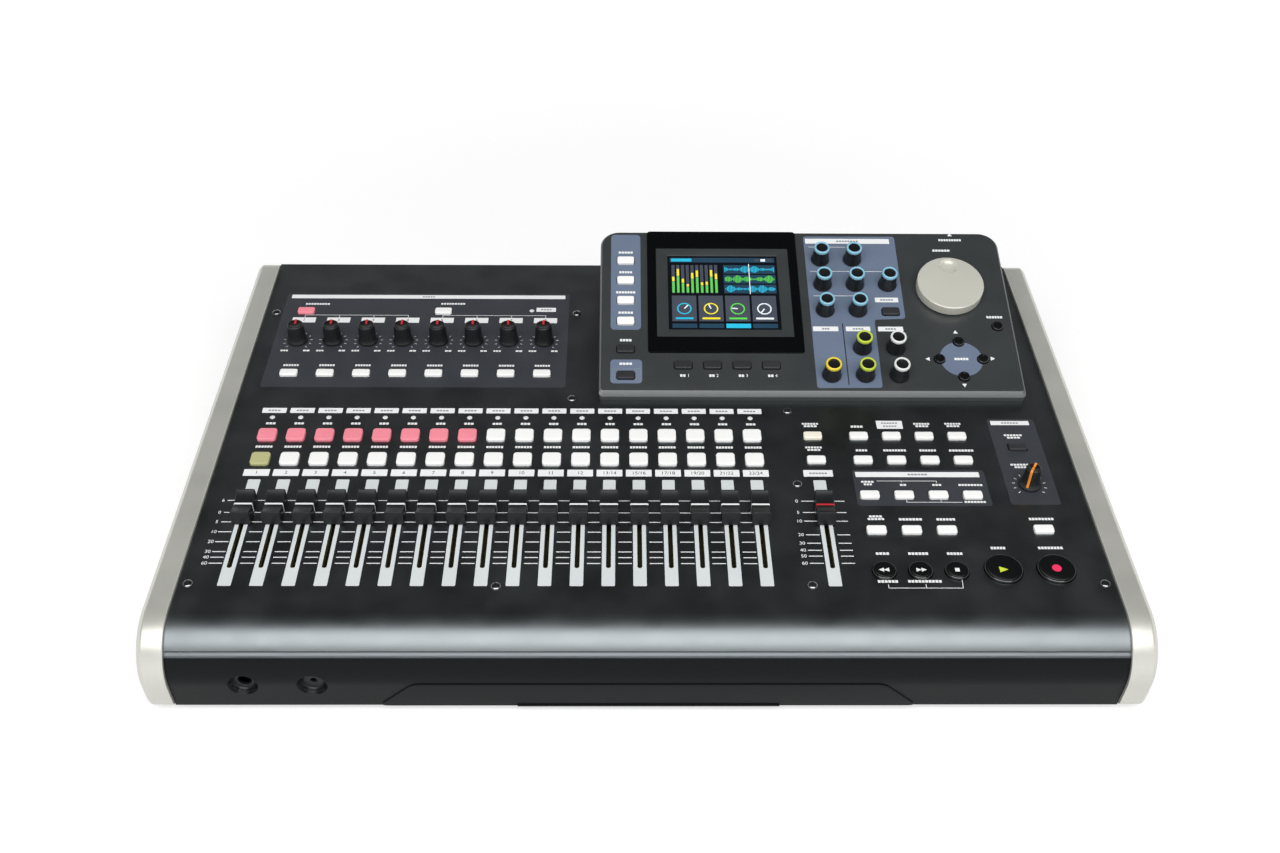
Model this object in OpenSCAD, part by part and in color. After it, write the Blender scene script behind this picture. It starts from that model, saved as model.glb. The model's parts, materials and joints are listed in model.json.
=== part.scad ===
// Desktop digital multitrack recorder: sloped control panel between two end
// cheeks, with a steeper display housing at the rear right.
// Millimetres. +X right, +Y to the rear, +Z up; origin at the bottom centre.

/* [Case] */
// Overall width across the end cheeks
case_w = 514; // [508:1:540]
// Length of an end cheek, front nose to rear end
cheek_d = 336; // [334:1:350]
// Thickness of an end cheek
cheek_t = 14; // [10:0.5:15]
// Height of the cheeks above the panel and the fascia
cheek_rise = 2; // [1:0.5:4]
// Rounding of the cheek's outer edge
cheek_edge_r = 3; // [1:0.5:5]
// Rounding of the cheek's rear top corner
cheek_corner_r = 8; // [5:1:14]
// Slope of the control panel in degrees
panel_tilt = 3; // [2:0.5:5]
// Height of the panel surface at the front end of the fader strips
panel_h = 52; // [50:0.5:58]
// Distance from the cheek's nose to the front end of the fader strips
strip_front = 43; // [42:0.5:48]
// Sheet thickness of the panel and the chassis
sheet_t = 1.2; // [1:0.1:1.6]
// Bend radius of the panel's front edge
nose_r = 26; // [24:0.5:28]
// Angle round the nose at which the panel ends and the fascia starts
seam_angle = 52; // [45:1:60]
// Distance from the cheeks' rear end to the rear wall's outer face
rear_inset = 2; // [1:0.5:4]
// Clearance between fixed neighbours
fit = 0.1; // [0.05:0.05:0.2]

/* [Front fascia] */
// Wall of the moulded fascia
fascia_t = 2.5; // [2:0.1:3]
// Inward lean of the fascia's lower face in degrees
fascia_lean = 8; // [4:1:10]
// Length of the fascia pad along its top edge
pad_top_w = 240; // [180:5:280]
// Length of the fascia pad along the bottom edge
pad_bottom_w = 277; // [200:1:320]
// Height of the fascia pad
pad_h = 19; // [14:0.5:20]
// Amount the pad stands proud of the fascia
pad_t = 0.6; // [0.4:0.1:1]
// Length of the lip under the pad
lip_w = 135; // [100:5:160]
// Height of the front sockets above the table
front_jack_z = 21; // [18:0.5:23]
// Mouth diameter of a front socket recess
recess_d = 15.5; // [13:0.5:18]
// Depth of a front socket recess
recess_depth = 4; // [3:0.5:5]
// Place of the headphone socket across the front
phones_x = -205.5; // [-215:0.5:-195]
// Place of the footswitch socket across the front
remote_x = -170.5; // [-180:0.5:-150]

/* [Feet] */
// Height of a rubber foot
foot_h = 4.5; // [3:0.5:6]
// Diameter of a rubber foot
foot_d = 20; // [14:1:26]
// Distance of a foot's centre from the case's side
foot_inset_x = 42; // [34:1:60]
// Distance of a foot's centre from the cheek's ends
foot_inset_y = 36; // [32:1:60]

/* [Display housing] */
// Width of the display housing
housing_w = 255.6; // [250:0.2:256]
// Length of the housing's top along its slope
housing_l = 128.4; // [128:0.2:130]
// Centre of the housing across the case
housing_u = 100; // [98:0.5:101]
// Front edge of the housing, measured up the panel from the strips' front end
housing_v = 149.5; // [149:0.5:151]
// Height of the housing's front edge above the panel
housing_rise = 5.5; // [5:0.5:8]
// Slope of the housing's top in degrees
housing_tilt = 18; // [16:0.5:20]
// Wall of the housing
housing_t = 2.5; // [2:0.1:3]
// Rounding of the housing's rear corners in plan
housing_corner_r = 12; // [8:1:18]
// Width of the display bezel
bezel_w = 95.4; // [92:0.2:97]
// Length of the display bezel
bezel_l = 97.6; // [94:0.2:98]
// Thickness of the display bezel
bezel_t = 1.2; // [0.8:0.1:2]
// Centre of the display across the case
display_u = 49.5; // [48:0.5:50]
// Front edge of the bezel on the housing
bezel_v = 30; // [29:0.5:30.5]
// Width of the window in the bezel
window_w = 84.5; // [80:0.5:86]
// Length of the window in the bezel
window_l = 71.6; // [70:0.2:74]
// Front edge of the bezel window on the housing
window_v = 42; // [40:0.5:43]
// Width of the picture area of the display
screen_w = 69.6; // [64:0.2:74]
// Length of the picture area of the display
screen_l = 59.4; // [54:0.2:64]
// Depth of the display frame under the housing's top
screen_sink = 0.8; // [0.4:0.1:1.4]

/* [Faders] */
// Pitch of the channel strips
channel_pitch = 16.5; // [16:0.1:16.5]
// Centre of the first channel strip
channel_u = -219; // [-222:0.5:-218]
// Centre of the stereo fader
stereo_u = 96.8; // [94:0.2:98]
// Length of travel of a fader
fader_travel = 47; // [40:1:48]
// Lowest position of a fader on the panel
fader_low = 16; // [15:0.5:18]
// Position of the fader caps at rest on the panel
fader_rest = 54; // [40:0.5:56]
// Length of a fader cap
cap_l = 20; // [16:0.5:22]
// Width of a fader cap
cap_w = 10; // [8:0.5:11]
// Height of a fader cap at its ends
cap_h = 8.6; // [8:0.2:11]
// Depth of the finger saddle in a fader cap
cap_saddle = 2.8; // [2:0.2:3.4]
// Gap under a fader cap
cap_gap = 0.8; // [0.5:0.1:1.5]
// Width of the slot in the panel
slot_w = 2.6; // [2.2:0.1:3]
// Thickness of a fader's lever
lever_t = 1; // [0.8:0.1:1.2]
// Length of a fader's lever along the slot
lever_l = 5; // [4:0.5:6]
// Width of a slide potentiometer
slider_w = 9; // [8.5:0.5:10]
// Height of a slide potentiometer
slider_h = 7; // [6.5:0.1:7.4]

/* [Knobs] */
// Pitch of the eight input columns
input_pitch = 22; // [21:0.1:22]
// Centre of the first input column
input_u = -217; // [-220:0.5:-216]
// Row of trim knobs, measured up the panel
trim_v = 207; // [204:0.5:210]
// Diameter of a trim knob at its base
trim_d = 12.4; // [11:0.2:14]
// Height of a trim knob
trim_h = 14; // [12:0.5:16]
// Diameter of the monitor knob at its base
monitor_d = 13.4; // [12:0.2:16]
// Height of the monitor knob
monitor_h = 15; // [13:0.5:17]
// Pitch of the encoder columns
encoder_pitch_u = 20.4; // [20:0.1:20.6]
// Pitch of the upper encoder rows
encoder_pitch_v = 20.6; // [20:0.1:20.8]
// Diameter of an encoder knob at its base
encoder_d = 11.8; // [10.5:0.1:12.4]
// Diameter of an encoder knob at its top ring
encoder_top_d = 9.6; // [8.6:0.1:10]
// Height of an encoder knob
encoder_h = 12; // [10:0.5:14]
// Diameter of the jog wheel
jog_d = 41.4; // [36:0.2:44]
// Height of the jog wheel
jog_h = 8; // [6:0.5:9]
// Diameter of the finger dimple in the jog wheel
dimple_d = 12; // [9:0.5:13]
// Distance of the dimple from the jog wheel's axis
dimple_off = 13; // [12:0.2:13.4]
// Diameter of a control shaft
shaft_d = 6; // [5:0.1:6]
// Gap under a knob
knob_gap = 0.8; // [0.5:0.1:1.2]
// Running clearance round a shaft
shaft_gap = 0.35; // [0.3:0.05:0.5]

/* [Keys] */
// Width of a key
key_w = 11.2; // [10:0.1:11.6]
// Length of a channel key
channel_key_l = 10; // [8:0.1:10.4]
// Length of a small key
small_key_l = 5.8; // [5:0.1:6.4]
// Height of a key above the panel
key_h = 1.6; // [1.4:0.1:2.2]
// Corner rounding of a key
key_r = 1.2; // [0.6:0.1:2]
// Travel of a key
key_travel = 1; // [0.6:0.1:1.2]
// Clearance between a key and its window
key_gap = 0.4; // [0.35:0.05:0.5]
// Width of the flange that holds a key under the panel
key_flange = 0.9; // [0.7:0.1:1]
// Diameter of the rewind, forward and stop keys
small_transport_d = 12.6; // [11:0.2:14]
// Diameter of the play and record keys
large_transport_d = 20; // [18:0.2:22]
// Diameter of a cursor key
cursor_d = 6.6; // [6:0.1:7.4]
// Distance of a cursor key from the centre of the cursor cross
cursor_r = 13.2; // [12:0.1:14]
// Diameter of an indicator lamp
lamp_d = 2.4; // [2:0.1:3]

/* [Rear] */
// Reach of the rear sockets behind the rear wall
jack_stick = 6; // [5:0.5:8]
// Height of the rear sockets above the table
rear_jack_z = 36; // [32:0.5:38]
// Pitch of the combination input sockets
combo_pitch = 27; // [26:0.5:27]
// Centre of the first combination input socket
combo_x = -225; // [-226:0.5:-222]
// Diameter of a combination socket's body
combo_d = 23.6; // [22:0.2:24]
// Bore for a 6.35 mm plug
plug_d = 6.5; // [6.4:0.1:6.8]
// Number of line output sockets
outputs = 6; // [4:1:6]
// Pitch of the line output sockets
output_pitch = 17; // [15:0.5:17]
// Centre of the first line output socket
output_x = 2; // [0:0.5:4]
// Centre of the standby button across the rear
standby_x = 190; // [184:0.5:196]
// Side of the square standby button
standby_w = 8; // [6:0.5:9]
// Reach of the standby button behind the rear wall
standby_out = 4; // [3:0.5:5]

/* [Boards] */
// Thickness of a circuit board
board_t = 1.6; // [1.2:0.1:2]
// Depth of the panel board's top face under the panel surface
board_drop = 9.5; // [9.5:0.1:11]
// Depth of the console board's top face under the housing's top
console_drop = 12; // [11:0.5:12]
// Height of the switch under a key
switch_h = 3.2; // [2.5:0.1:3.2]

/* [Hidden] */
$fn = 48;
fine_fn = 96;
channels = 18;
eps = 0.01;
seat = 0.3;
flange_t = 1;
can_wall = 0.8;
carriage_l = 8;
switch_side = 5;
nub_h = 0.4;
pot_w = 10;
pot_l = 11;
pot_h = 5;
pot_floor = 0.8;
bushing_wall = 0.7;
lamp_proud = 0.2;
socket_back = 2;
collar_t = 2;
overall_d = cheek_d - rear_inset + jack_stick;
front_y = -overall_d / 2;
rear_y = front_y + cheek_d;
wall_y = rear_y - rear_inset;
inner_w = case_w - 2 * cheek_t;
panel_w = inner_w - 2 * fit;
layout_w = 485.8;
layout_house_w = 255.6;
layout_house_u = 100;
spread = panel_w / layout_w;
house_w = housing_w * spread;
house_mid = housing_u * spread;
house_spread = house_w / layout_house_w;
display_at = house_x(display_u);
stereo_at = stereo_u * spread;
standby_at = standby_x * spread;
phones_at = phones_x * spread;
remote_at = remote_x * spread;
encoder_step = encoder_pitch_u * house_spread;
monitor_turn = 150;
datum_y = front_y + strip_front;
nose_y = front_y + cheek_rise + nose_r;
nose_z = panel_h + (nose_y - datum_y) * tan(panel_tilt) - nose_r / cos(panel_tilt);
panel_v0 = (nose_y - nose_r * sin(panel_tilt) - datum_y) / cos(panel_tilt);
panel_v1 = (wall_y - datum_y) / cos(panel_tilt);
lean_a = 180 + fascia_lean;
house_y = datum_y + housing_v * cos(panel_tilt) - housing_rise * sin(panel_tilt);
house_z = panel_h + housing_v * sin(panel_tilt) + housing_rise * cos(panel_tilt);
house_bevel = housing_tilt - panel_tilt;
shaft_bore = shaft_d + 2 * shaft_gap;
control_hole = shaft_d + 4 * shaft_gap;
arc_end = [nose_y + nose_r * cos(lean_a), nose_z + nose_r * sin(lean_a)];
leg_l = (arc_end[1] - foot_h) / cos(fascia_lean);
lean_step = leg_l * sin(fascia_lean) + nose_r * (1 - cos(fascia_lean));
seam_gap_a = 0.3;
recess_floor_d = 10;
recess_lip = 2;
boss_wall = 2.5;
boss_d = recess_d + 2 * boss_wall;
jack_face_y = fascia_y(front_jack_z) + recess_depth + recess_lip;
phones_side = 14;
remote_d = 2.7;
remote_side = 9;
standoff_x = [-150, 0, 150];
standoff_y = [-60, 80];
standoff_h = 6;
standoff_d = 7;
main_board_at = [-190, -80];
main_board = [360, 190];
board_edge = 8;
board_gap = 6;
input_board_l = 100;

// Key positions on the panel, as [u, v], measured from the strips' front end
rec_v = 117.4;
select_v = 96.8;
lamp_v = 133.3;
lamp_u_in = -72.2 * spread;
lamp_v_in = 239.4;
source_v = 174.6;
phantom_v = 238.2;
grid_u = 123.5 * spread;
grid_pitch = 19.1 * spread;
side_u = 214.3 * spread;
row_v = [117.5, 96.8, 67.9, 40.6];
row_n = [4, 4, 4, 3];
monitor_select_v = 108;
monitor_knob_v = 76.4;
rec_safe_v = 41.2;
transport_v = 10.5;
play_u = 186.4 * spread;
large_transport_v = 11.8;

// Key and knob positions on the housing, as [u, v] from its front edge
home_u = house_x(-11.8);
mode_v = [103.3, 87.1, 70.9, 54.5];
menu_v = 33;
home_v = 13.2;
soft_u = house_x(22.9);
soft_pitch = 17.75 * house_spread;
soft_v = 20.9;
encoder_u = house_x(112);
encoder_v = 63.5;
lower_v = [34, 13.6];
equal_key_v = 62.6;
jog_u = house_x(191);
jog_v = 80;
jog_play = [house_x(217.6), 51.2];
cursor_u = house_x(191.9);
cursor_v = 26;

transport_u = [grid_u, grid_u + grid_pitch, grid_u + 2 * grid_pitch];
transport_names = ["rewind_key", "forward_key", "stop_key"];
eq_spots = [[0, 2], [1, 2], [0, 1], [1, 1], [2, 1], [0, 0], [1, 0]];
encoder_spots = concat(
    [for (s = eq_spots) [encoder_u + s[0] * encoder_step, encoder_v + s[1] * encoder_pitch_v]],
    [[encoder_u, lower_v[1]]],
    [for (v = lower_v) [encoder_u + encoder_step, v]],
    [for (v = lower_v) [encoder_u + 2 * encoder_step, v]]);
encoder_names = concat(
    [for (i = [1:7]) str("eq_encoder_", i)],
    ["pan_encoder", "send_encoder_1", "send_encoder_2", "master_encoder_1", "master_encoder_2"]);
channel_spots = [for (i = [0:channels - 1]) (channel_u + i * channel_pitch) * spread];
channel_names = [for (i = [1:channels]) str("channel_fader_", i < 10 ? "0" : "", i)];
input_spots = [for (i = [0:7]) (input_u + i * input_pitch) * spread];
trim_names = [for (i = [1:8]) str("trim_knob_", i)];
channel_key_spots = [for (u = channel_spots, v = [rec_v, select_v]) [u, v]];
small_key_spots = concat(
    [for (u = input_spots) [u, source_v]],
    [[input_spots[0], phantom_v], [input_spots[4], phantom_v]],
    [[stereo_at, row_v[0]], [stereo_at, row_v[1]]],
    [for (r = [0:3], i = [0:row_n[r] - 1]) [grid_u + i * grid_pitch, row_v[r]]],
    [[side_u, rec_safe_v], [side_u, monitor_select_v]]);
console_key_spots = concat(
    [for (v = mode_v) [home_u, v]],
    [[home_u, menu_v], [home_u, home_v]],
    [for (i = [0:3]) [soft_u + i * soft_pitch, soft_v]],
    [[encoder_u + 2 * encoder_step, equal_key_v]]);
cursor_spots = concat([jog_play],
    [for (a = [0:90:270]) [cursor_u + cursor_r * cos(a), cursor_v + cursor_r * sin(a)]]);
lamp_spots = concat([for (u = channel_spots) [u, lamp_v]], [[lamp_u_in, lamp_v_in]]);
knob_spots = concat([for (u = input_spots) [u, trim_v]], [[side_u, monitor_knob_v]]);
large_transport_spots = [[play_u, large_transport_v], [side_u, large_transport_v]];
small_transport_spots = [for (u = transport_u) [u, transport_v]];
combo_spots = [for (i = [0:7]) (combo_x + i * combo_pitch) * spread];
output_spots = [for (i = [0:outputs - 1]) (output_x + i * output_pitch) * spread];
phono_spots = [for (i = [0:1]) (output_x + (outputs + i) * output_pitch) * spread];
usb_step = 3;
usb_x = (output_x + (outputs + 2) * output_pitch) * spread + usb_step;
power_step = 28;
power_x = standby_at + power_step;
phono_d = 8.4;
phono_bore = 3.4;
phono_depth = 10;
usb_w = 12;
usb_h = 11;
usb_bore = 8.6;
usb_depth = 15;
usb_proud = 0.5;
power_d = 8;
power_bore = 6.2;
power_depth = 12;
output_d = 9;
output_depth = 20;

// Places children on the panel surface at u across and v up the slope
module on_panel(u = 0, v = 0, h = 0) {
    translate([0, datum_y, panel_h])
        rotate([panel_tilt, 0, 0])
            translate([u, v, h])
                children();
}

// Place across the case of a point u of the housing's own layout
function house_x(u) = house_mid + (u - layout_house_u) * house_spread;

// Places children on the housing's top at u across and v up its slope
module on_housing(u = 0, v = 0, h = 0) {
    translate([0, house_y, house_z])
        rotate([housing_tilt, 0, 0])
            translate([u, v, h])
                children();
}

// Extrudes a side view, drawn as (y, z), across the case about x
module across(w, x = 0) {
    translate([x - w / 2, 0, 0])
        rotate([90, 0, 90])
            linear_extrude(w)
                children();
}

// Corner points of a rectangle with rounded corners, centred
function rounded_rect(w, l, r, n = 3) = [
    for (c = [[1, 1, 0], [-1, 1, 90], [-1, -1, 180], [1, -1, 270]], i = [0:n])
        [c[0] * (w / 2 - r) + r * cos(c[2] + 90 * i / n),
         c[1] * (l / 2 - r) + r * sin(c[2] + 90 * i / n)]];

// Points on an arc about c from angle a0 to a1
function arc(c, r, a0, a1, n) = [
    for (i = [0:n]) [c[0] + r * cos(a0 + (a1 - a0) * i / n), c[1] + r * sin(a0 + (a1 - a0) * i / n)]];

module plate(w, l, r, t) {
    linear_extrude(t)
        polygon(rounded_rect(w, l, r));
}

// Sector of a circle from angle a0 to a1, large enough to cut radius r
module sector(r, a0, a1) {
    far = 3 * r;
    mid = (a0 + a1) / 2;
    polygon([[0, 0], far * [cos(a0), sin(a0)], far * [cos(mid), sin(mid)], far * [cos(a1), sin(a1)]]);
}

// Curved strip of the nose's radius between two angles, in side view
module nose_strip(t, a0, a1) {
    intersection() {
        difference() {
            circle(nose_r, $fn = fine_fn);
            circle(nose_r - t, $fn = fine_fn);
        }
        sector(nose_r, a0, a1);
    }
}

// Control panel

module key_windows(spots, l) {
    for (s = spots)
        translate(s)
            polygon(rounded_rect(key_w + 2 * key_gap, l + 2 * key_gap, key_r));
}

module round_windows(spots, d) {
    for (s = spots)
        translate(s)
            circle(d = d);
}

module fader_slot(u) {
    ends = lever_l / 2 + 2 * key_gap;
    translate([u - slot_w / 2, fader_low - ends])
        square([slot_w, fader_travel + 2 * ends]);
}

module panel_openings() {
    key_windows(channel_key_spots, channel_key_l);
    key_windows(small_key_spots, small_key_l);
    round_windows(small_transport_spots, small_transport_d + 2 * key_gap);
    round_windows(large_transport_spots, large_transport_d + 2 * key_gap);
    round_windows(knob_spots, control_hole);
    round_windows(lamp_spots, lamp_d + 2 * fit);
    for (u = concat(channel_spots, [stereo_at]))
        fader_slot(u);
    housing_mouth();
}

// Opening in the panel under the display housing
module housing_mouth() {
    rim = 2 * housing_t;
    translate([house_mid - house_w / 2 + rim, housing_v + rim])
        square([house_w - 2 * rim, housing_l - 2 * rim]);
}

module top_panel() {
    color("#26292c") {
        on_panel(0, 0, -sheet_t)
            linear_extrude(sheet_t)
                difference() {
                    translate([-panel_w / 2, panel_v0])
                        square([panel_w, panel_v1 - panel_v0]);
                    panel_openings();
                }
        on_panel()
            across(panel_w)
                translate([panel_v0, -nose_r])
                    nose_strip(sheet_t, 90, 90 + seam_angle - panel_tilt);
    }
}

// Chassis

// Height of the panel's underside above the table at a given y
function under_panel(y) = panel_h + (y - datum_y) * tan(panel_tilt) - (sheet_t + fit) / cos(panel_tilt);

module chassis_side(x) {
    y0 = nose_y;
    y1 = wall_y - sheet_t;
    across(sheet_t, x)
        polygon([[y0, foot_h], [y1, foot_h], [y1, under_panel(y1)], [y0, under_panel(y0)]]);
}

module round_hole(x, z, d) {
    translate([x, wall_y + eps, z])
        rotate([90, 0, 0])
            cylinder(d = d, h = sheet_t + 2 * eps);
}

module square_hole(x, z, w, h) {
    translate([x - w / 2, wall_y - sheet_t - eps, z - h / 2])
        cube([w, sheet_t + 2 * eps, h]);
}

module rear_wall() {
    difference() {
        translate([-inner_w / 2 + fit, wall_y - sheet_t, foot_h])
            cube([inner_w - 2 * fit, sheet_t, under_panel(wall_y - sheet_t) - foot_h]);
        for (x = combo_spots)
            round_hole(x, rear_jack_z, combo_d + 2 * fit);
        for (x = output_spots)
            round_hole(x, rear_jack_z, output_d + 2 * fit);
        for (x = phono_spots)
            round_hole(x, rear_jack_z, phono_d + 2 * fit);
        round_hole(power_x, rear_jack_z, power_d + 2 * fit);
        square_hole(usb_x, rear_jack_z, usb_w + 2 * fit, usb_h + 2 * fit);
        square_hole(standby_at, rear_jack_z, standby_w + 2 * key_gap, standby_w + 2 * key_gap);
    }
}

module bottom_chassis() {
    side_x = inner_w / 2 - fit - sheet_t / 2;
    base_y = nose_y - nose_r + fascia_t + 2 * sheet_t + lean_step;
    color("#3a3d40") {
        translate([-inner_w / 2 + fit, base_y, foot_h])
            cube([inner_w - 2 * fit, wall_y - base_y, sheet_t]);
        chassis_side(-side_x);
        chassis_side(side_x);
        rear_wall();
        for (x = standoff_x, y = standoff_y)
            translate([x, y, foot_h])
                cylinder(d = standoff_d, h = sheet_t + standoff_h);
    }
}

// Front fascia

// Places children on the fascia's leaning face: x across, y up from the bottom edge, z outward
module on_fascia() {
    translate([0, arc_end[0] + leg_l * sin(fascia_lean), foot_h])
        rotate([90 + fascia_lean, 0, 0])
            children();
}

// Shell of the fascia: a strip round the nose that runs on into a straight, leaning leg
module fascia_shell() {
    translate([0, nose_y, nose_z])
        rotate([fascia_lean, 0, 0])
            across(panel_w) {
                nose_strip(fascia_t, 90 + seam_angle + seam_gap_a - fascia_lean, 180);
                polygon([
                    [-nose_r, 0],
                    [-nose_r, -leg_l],
                    [fascia_t - nose_r, -leg_l - fascia_t * tan(fascia_lean)],
                    [fascia_t - nose_r, 0]]);
            }
}

module fascia_pad() {
    corner = 4;
    slope = (pad_bottom_w - pad_top_w) / 2;
    bevel = slope * corner / pad_h;
    on_fascia()
        translate([0, 0, -eps])
            linear_extrude(pad_t + eps)
                polygon([
                    [-pad_bottom_w / 2, 0],
                    [pad_bottom_w / 2, 0],
                    [pad_top_w / 2 + bevel, pad_h - corner],
                    [pad_top_w / 2 - corner, pad_h],
                    [-pad_top_w / 2 + corner, pad_h],
                    [-pad_top_w / 2 - bevel, pad_h - corner]]);
    on_fascia()
        translate([-lip_w / 2, 0, pad_t - eps])
            cube([lip_w, sheet_t, pad_t + eps]);
}

// Front edge of the fascia at the sockets' height
function fascia_y(z) = arc_end[0] + (arc_end[1] - z) * tan(fascia_lean);

module front_socket_boss(x) {
    translate([x, jack_face_y, front_jack_z])
        rotate([90, 0, 0])
            cylinder(d = boss_d, h = recess_depth);
}

module front_socket_recess(x, d) {
    mouth = 2;
    spread = (recess_d - recess_floor_d) / recess_depth;
    translate([x, jack_face_y - recess_lip, front_jack_z])
        rotate([90, 0, 0])
            cylinder(d1 = recess_floor_d, d2 = recess_d + mouth * spread, h = recess_depth + mouth);
    translate([x, jack_face_y + eps, front_jack_z])
        rotate([90, 0, 0])
            cylinder(d = d, h = recess_lip + 2 * eps);
}

module front_fascia() {
    color("#1f2326")
        difference() {
            union() {
                fascia_shell();
                fascia_pad();
                front_socket_boss(phones_at);
                front_socket_boss(remote_at);
            }
            front_socket_recess(phones_at, plug_d);
            front_socket_recess(remote_at, remote_d);
        }
}

// End cheeks

// Outline of a cheek in side view, drawn in by e from its full size
function cheek_outline(e) =
    let (
        lift = cheek_rise - e,
        r = nose_r + lift,
        rc = cheek_corner_r - e,
        corner_n = 8,
        nose_n = 20,
        corner_y = rear_y - cheek_corner_r,
        corner_z = panel_h + (corner_y - datum_y) * tan(panel_tilt)
            + (cheek_rise - cheek_corner_r) / cos(panel_tilt),
        nose_end = [nose_y + r * cos(lean_a), nose_z + r * sin(lean_a)],
        bottom = foot_h + e)
    concat(
        [[rear_y - e, bottom]],
        arc([corner_y, corner_z], rc, 0, 90 + panel_tilt, corner_n),
        arc([nose_y, nose_z], r, 90 + panel_tilt, lean_a, nose_n),
        [[nose_end[0] + (nose_end[1] - bottom) * tan(fascia_lean), bottom]]);

// Cheek with its inner face at x = 0 and a rounded outer edge at x = cheek_t
module cheek() {
    slice = 0.02;
    body = cheek_t - cheek_edge_r;
    hull() {
        rotate([90, 0, 90])
            linear_extrude(body)
                polygon(cheek_outline(0));
        for (a = [30:30:90])
            translate([body + cheek_edge_r * sin(a) - slice, 0, 0])
                rotate([90, 0, 90])
                    linear_extrude(slice)
                        polygon(cheek_outline(cheek_edge_r * (1 - cos(a))));
    }
}

module left_end_cheek() {
    color("#a8a8a0")
        mirror([1, 0, 0])
            translate([inner_w / 2, 0, 0])
                cheek();
}

module right_end_cheek() {
    color("#a8a8a0")
        translate([inner_w / 2, 0, 0])
            cheek();
}

// Display housing

// Plan of the housing's top, drawn in by e, with its front left open
module housing_plan(e) {
    w = house_w - 2 * e;
    l = housing_l - e;
    r = housing_corner_r - e;
    apron = 40;
    translate([house_mid - w / 2, -apron])
        square([w, l - r + apron]);
    translate([house_mid - w / 2 + r, -apron])
        square([w - 2 * r, l + apron]);
    for (s = [-1, 1])
        translate([house_mid + s * (w / 2 - r), l - r])
            circle(r);
}

// Side view of the housing above the panel, drawn in by e and standing on drop
module housing_side(e, drop) {
    up = [cos(panel_tilt), sin(panel_tilt)];
    out = [-sin(panel_tilt), cos(panel_tilt)];
    origin = [datum_y, panel_h];
    slope = tan(house_bevel);
    beyond = 30;
    v1 = housing_v + housing_l + beyond;
    h0 = housing_rise - e / cos(house_bevel);
    front = housing_v + e;
    polygon([
        origin + front * up + drop * out,
        origin + front * up + (h0 + e * slope) * out,
        origin + v1 * up + (h0 + (v1 - housing_v) * slope) * out,
        origin + v1 * up + drop * out]);
}

module housing_block(e, drop) {
    tall = 90;
    intersection() {
        on_housing(0, 0, -tall)
            linear_extrude(tall + eps)
                housing_plan(e);
        across(2 * house_w, house_mid)
            housing_side(e, drop);
    }
}

module housing_openings() {
    translate([display_at - window_w / 2, window_v])
        square([window_w, window_l]);
    key_windows(console_key_spots, small_key_l);
    round_windows(cursor_spots, cursor_d + 2 * key_gap);
    round_windows(concat(encoder_spots, [[jog_u, jog_v]]), control_hole);
}

module display_housing() {
    cut = 3 * housing_t;
    below = 5;
    color("#45484b")
        difference() {
            housing_block(0, fit);
            housing_block(housing_t, -below);
            on_housing(0, 0, -cut / 2)
                linear_extrude(cut)
                    housing_openings();
        }
}

module display_bezel() {
    corner_r = 2;
    color("#101214")
        on_housing(0, 0, fit / 2)
            linear_extrude(bezel_t)
                difference() {
                    translate([display_at, bezel_v + bezel_l / 2])
                        polygon(rounded_rect(bezel_w, bezel_l, corner_r));
                    translate([display_at - window_w / 2, window_v])
                        square([window_w, window_l]);
                }
}

module lcd_panel() {
    lip = 4;
    depth = 4;
    mid_v = window_v + window_l / 2;
    top = housing_t + fit;
    glass = 0.4;
    frame_r = 1;
    window_r = 0.5;
    color("#2a3c6c")
        on_housing(display_at, mid_v, 0)
            difference() {
                union() {
                    translate([0, 0, -top - depth])
                        plate(window_w + 2 * lip, window_l + 2 * lip, frame_r, depth);
                    translate([0, 0, -top - eps])
                        plate(window_w - 2 * fit, window_l - 2 * fit, window_r, top - screen_sink + eps);
                }
                translate([0, 0, -screen_sink - glass])
                    plate(screen_w, screen_l, window_r, 2 * glass);
            }
}

// Circuit boards and the controls soldered to them

// Slide potentiometer: a steel can with the lever's slot along its top
module slide_pot() {
    ends = carriage_l / 2 + seat + 2 * can_wall;
    l = fader_travel + 2 * ends;
    slot = lever_t + 4 * seat;
    translate([0, fader_low - ends, -board_drop + fit])
        difference() {
            translate([-slider_w / 2, 0, 0])
                cube([slider_w, l, slider_h - fit]);
            translate([-slider_w / 2 + can_wall, can_wall, can_wall])
                cube([slider_w - 2 * can_wall, l - 2 * can_wall, slider_h - fit - 2 * can_wall]);
            translate([-slot / 2, 2 * can_wall, slider_h - fit - 2 * can_wall])
                cube([slot, l - 4 * can_wall, 3 * can_wall]);
        }
}

// Rotary control: a square body and a bushing bored for the shaft
module rotary_pot(drop, sheet) {
    bushing_h = drop - pot_h - sheet - seat;
    difference() {
        union() {
            translate([-pot_w / 2, -pot_l / 2, -drop + fit])
                cube([pot_w, pot_l, pot_h - fit]);
            translate([0, 0, -drop + pot_h - eps])
                cylinder(d = shaft_bore + 2 * bushing_wall, h = bushing_h);
        }
        translate([0, 0, -drop + fit + pot_floor])
            cylinder(d = shaft_bore, h = drop);
    }
}

module tact_switch(drop) {
    translate([-switch_side / 2, -switch_side / 2, -drop + fit])
        cube([switch_side, switch_side, switch_h]);
    translate([0, 0, -drop + fit + switch_h - eps])
        cylinder(d = switch_side / 2, h = nub_h);
}

module lamp() {
    translate([0, 0, -board_drop + fit])
        cylinder(d = lamp_d, h = board_drop + lamp_proud);
}

module panel_board(u0, u1, v0, v1) {
    on_panel(u0, v0, -board_drop - board_t)
        cube([u1 - u0, v1 - v0, board_t]);
}

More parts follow.
